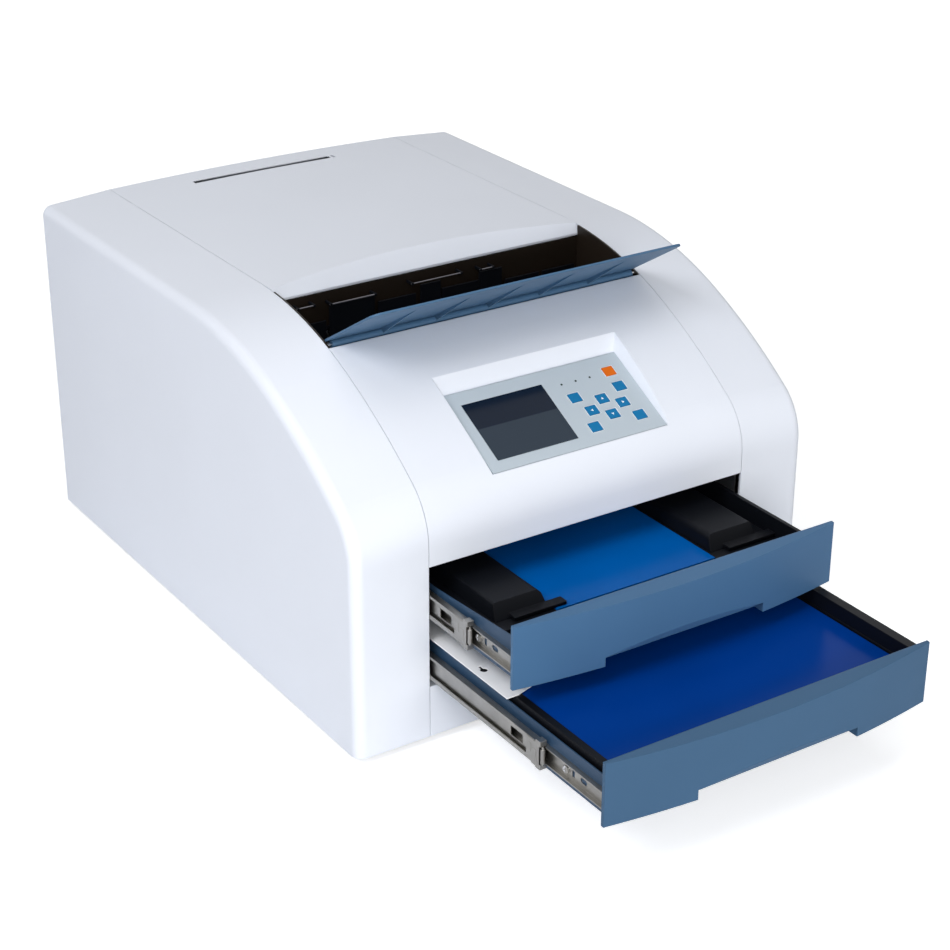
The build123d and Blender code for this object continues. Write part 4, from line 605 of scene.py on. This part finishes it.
def ball_tree(finish):
    """Balls set along each line at an even pitch."""
    tree, come, leave = new_tree("ball_rows", Pitch="Float", Radius="Float")
    line = tree.nodes.new("GeometryNodeMeshToCurve")
    spaced = tree.nodes.new("GeometryNodeResampleCurve")
    spaced.mode = "LENGTH"
    ball = tree.nodes.new("GeometryNodeMeshIcoSphere")
    ball.inputs["Subdivisions"].default_value = 2
    place = tree.nodes.new("GeometryNodeInstanceOnPoints")
    smooth = tree.nodes.new("GeometryNodeSetShadeSmooth")
    tree.links.new(come.outputs["Geometry"], line.inputs["Mesh"])
    tree.links.new(line.outputs[0], spaced.inputs["Curve"])
    tree.links.new(come.outputs["Pitch"], spaced.inputs["Length"])
    tree.links.new(come.outputs["Radius"], ball.inputs["Radius"])
    tree.links.new(ball.outputs["Mesh"], smooth.inputs["Geometry"])
    tree.links.new(spaced.outputs[0], place.inputs["Points"])
    tree.links.new(smooth.outputs[0], place.inputs["Instance"])
    end_tree(tree, place.outputs[0], finish, leave)
    return tree


def lever_bar(bm, side, front, height, half, radius):
    """An upright round bar of the latch lever."""
    made = bmesh.ops.create_cone(
        bm, cap_ends=True, segments=20, radius1=radius, radius2=radius, depth=2 * half
    )["verts"]
    middle = Vector((side * (slide_wall - lever_across), front + lever_along, height)) + casing_edge
    bmesh.ops.transform(bm, matrix=Matrix.Translation(middle), verts=made)


def cut_out(piece, bm, name, own_parts_cross=False):
    """Cuts a worked shape out of a piece by a modifier. The cutter goes once the piece is settled."""
    cutter = new_piece(name + "_cutter", mesh_from(bm, name + "_cutter", piece.data.materials[0]))
    cut = piece.modifiers.new(name, "BOOLEAN")
    cut.object = cutter
    cut.solver = "EXACT"
    cut.use_self = own_parts_cross
    return cutter


def round_edges(piece, name, radius):
    """Rounds the edges that rolling or pressing leaves."""
    soft = piece.modifiers.new(name, "BEVEL")
    soft.width = radius
    soft.segments = 2
    soft.limit_method = "ANGLE"


def middle_members(drawer, front, height, cage_back):
    """Both middle members of a drawer with their ball cages and windows."""
    bm = bmesh.new()
    rear = front + slide_length
    for side in (-1, 1):
        rolled_member(bm, side, front, height)
        for end in (-1, 1):
            cage_along = (front + cage_back - cage_lap, rear - cage_rear_gap)
            cage_heights = (height + end * cage_up[0], height + end * cage_up[1])
            side_block(bm, side, cage_across, cage_along, cage_heights)
    members = new_piece(drawer + "_slide_middles", mesh_from(bm, drawer + "_slide_middles", slide_steel))
    bm = bmesh.new()
    for side in (-1, 1):
        window_y = front + window_back
        window_along = (window_y - window_length / 2, window_y + window_length / 2)
        window_heights = (height - window_height / 2, height + window_height / 2)
        side_block(bm, side, window_depth, window_along, window_heights)
    cutter = cut_out(members, bm, "window")
    round_edges(members, "rolled", 0.0004)
    settle(members)
    bpy.data.objects.remove(cutter)
    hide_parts(drawer + "_slide_middle_members")
    give(members, drawer + "_slide_middles")


def latches(drawer, front, height):
    """The pressed brackets in the front ends of a drawer's middle members, with their levers."""
    bm = bmesh.new()
    for side in (-1, 1):
        for across, along, up in latch_plates:
            side_block(bm, side, across, moved(along, front), moved(up, height))
        for end in (-1, 1):
            jaw_heights = (height + end * jaw_up[0], height + end * jaw_up[1])
            side_block(bm, side, jaw_across, moved(jaw_along, front), jaw_heights)
        for half, radius in lever_bars:
            lever_bar(bm, side, front, height, half, radius)
    bracket = new_piece(drawer + "_slide_latches", mesh_from(bm, drawer + "_slide_latches", slide_steel))
    round_edges(bracket, "pressed", 0.0005)
    settle(bracket)
    give(bracket, drawer + "_slide_middles")


def ball_lines(front, height, cage_back):
    """Both ends of each row of balls."""
    points = []
    rows = ({**outer_balls, "back": cage_back}, inner_balls)
    for side in (-1, 1):
        for end in (-1, 1):
            for row in rows:
                for y in (front + row["back"], front + slide_length - balls_rear_gap):
                    place = Vector((side * (slide_wall - row["across"]), y, height + end * row["up"]))
                    points.append(place + casing_edge)
    return points


ball_rows = ball_tree(ball_steel)
for row in slide_rows:
    drawer, front, height, cage_back = row["drawer"], row["front"], row["height"], row["cage_back"]
    middle_members(drawer, front, height, cage_back)
    latches(drawer, front, height)
    points = ball_lines(front, height, cage_back)
    edges = [(i, i + 1) for i in range(0, len(points), 2)]
    balls = new_piece(drawer + "_slide_balls", points_mesh(drawer + "_slide_balls", points, edges))
    grow(balls, ball_rows, Pitch=ball_pitch, Radius=ball_radius)
    give(balls, drawer + "_slide_middles")


# Screws: zinc-plated pan heads with a cross recess. Four hold each drawer to its slides, and nine
# hold the rear panel.

slide_screw_x = 0.1925
slide_screw_inset = 0.0668
case_depth = 0.725
rear_screw_pairs = ((0.27, 0.03), (0.27, 0.2), (0.27, 0.36), (0.12, 0.37))
middle_screw_height = 0.03
head_segments = 24
head_profile = ((1.0, 0.0), (1.0, 0.45), (0.86, 0.82), (0.5, 1.0))
screw_steel = plated_steel("screw_steel", "CFD0D2", 0.2, (1.0, 1.0, 1.0))


def screw_head(radius, height):
    """A pan head with its cross recess, standing on the origin along Z."""
    bm = bmesh.new()
    rings = []
    for radius_share, height_share in head_profile:
        r, z = radius * radius_share, height * height_share
        ring = []
        for i in range(head_segments):
            angle = math.radians(360 / head_segments * i)
            ring.append(bm.verts.new((r * math.cos(angle), r * math.sin(angle), z)))
        rings.append(ring)
    for low, high in zip(rings, rings[1:]):
        for i in range(head_segments):
            after = (i + 1) % head_segments
            bm.faces.new((low[i], low[after], high[after], high[i]))
    bm.faces.new(rings[0][::-1])
    bm.faces.new(rings[-1])
    head = new_piece("screw_head", mesh_from(bm, "screw_head", screw_steel))
    bm = bmesh.new()
    arm_length, arm_width = radius * 1.1, radius * 0.24 * 1.1
    for across, along in ((arm_length, arm_width), (arm_width, arm_length)):
        arm = bmesh.ops.create_cube(bm, size=1.0)["verts"]
        stretch = Matrix.Diagonal((across, along, height, 1.0))
        bmesh.ops.transform(bm, matrix=Matrix.Translation((0, 0, height * 0.95)) @ stretch, verts=arm)
    cutter = cut_out(head, bm, "cross", own_parts_cross=True)
    settle(head)
    bpy.data.objects.remove(cutter)
    return head


def screw_tree(finish):
    """A screw head on each point, turned the same way."""
    tree, come, leave = new_tree("screw_heads", Head="Object", Turn="Vector")
    shape = tree.nodes.new("GeometryNodeObjectInfo")
    place = tree.nodes.new("GeometryNodeInstanceOnPoints")
    tree.links.new(come.outputs["Head"], shape.inputs["Object"])
    tree.links.new(come.outputs["Geometry"], place.inputs["Points"])
    tree.links.new(shape.outputs["Geometry"], place.inputs["Instance"])
    tree.links.new(come.outputs["Turn"], place.inputs["Rotation"])
    end_tree(tree, place.outputs[0], finish, leave)
    return tree


screws_on = screw_tree(screw_steel)
slide_head = screw_head(0.0044, 0.0024)
quarter = math.pi / 2
for row in slide_rows:
    for side, label in ((-1, "left"), (1, "right")):
        spots = []
        for inset in (slide_screw_inset, slide_length - slide_screw_inset):
            spot = Vector((side * slide_screw_x, row["drawer_front"] + inset, row["height"]))
            spots.append(spot + casing_edge)
        name = row["drawer"] + "_slide_screws_" + label
        heads = new_piece(name, points_mesh(name, spots))
        grow(heads, screws_on, Head=slide_head, Turn=(0.0, side * quarter, 0.35))
        give(heads, row["drawer"] + "_drawer")
bpy.data.objects.remove(slide_head)

case_head = screw_head(0.0033, 0.0019)
spots = []
for x, z in rear_screw_pairs:
    spots += [Vector((side * x, case_depth, z)) + casing_edge for side in (-1, 1)]
spots.append(Vector((0.0, case_depth, middle_screw_height)) + casing_edge)
rear_screws = new_piece("rear_screws", points_mesh("rear_screws", spots))
grow(rear_screws, screws_on, Head=case_head, Turn=(-quarter, 0.0, 0.0))
bpy.data.objects.remove(case_head)
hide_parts("case_screws")
give(rear_screws, "casing")


# Chassis and base of galvanised sheet, painted rear panel, steel shafts, rubber rollers, feet and
# belt, and the black moulded parts of the drive, the fan and the mains inlet.

bar_steel = plated_steel("bar_steel", "C3C4C7", 0.25, (0.04, 1.0, 1.0))
# Painted shade: the guide rods take a darker copy of the plated steel, so that they show dim inside the
# duct.
rod_steel = plated_steel("rod_steel", "77757A", 0.35, (0.04, 1.0, 1.0))
dress(rod_steel, "exit_guide_rods")
dress(bar_steel, "flap_pins", "pickup_arms_and_shafts", "motor_pulley", "data_sockets")
sheet_steel = plated_steel("sheet_steel", "A9ACB0", 0.4, (1.0, 1.0, 1.0))
rear_paint = painted_steel("rear_paint", "B2B5BA", 0.42)
dress(rear_paint, "rear_panel")
dress(sheet_steel, "chassis_frame", "base_plate", "power_supply", "thermal_head")
rubber = moulded("black_rubber", "1A1A1B", 0.75, grain=0.00005, grain_scale=600.0)
dress(rubber, "rubber_feet", "platen_roller", "upper_pickup_roller", "lower_pickup_roller", "timing_belt")
dress(black_plastic, "platen_pulley", "platen_bushes", "drive_motor", "fan_frame", "fan_rotor")
dress(black_plastic, "power_inlet", "rocker_switch")
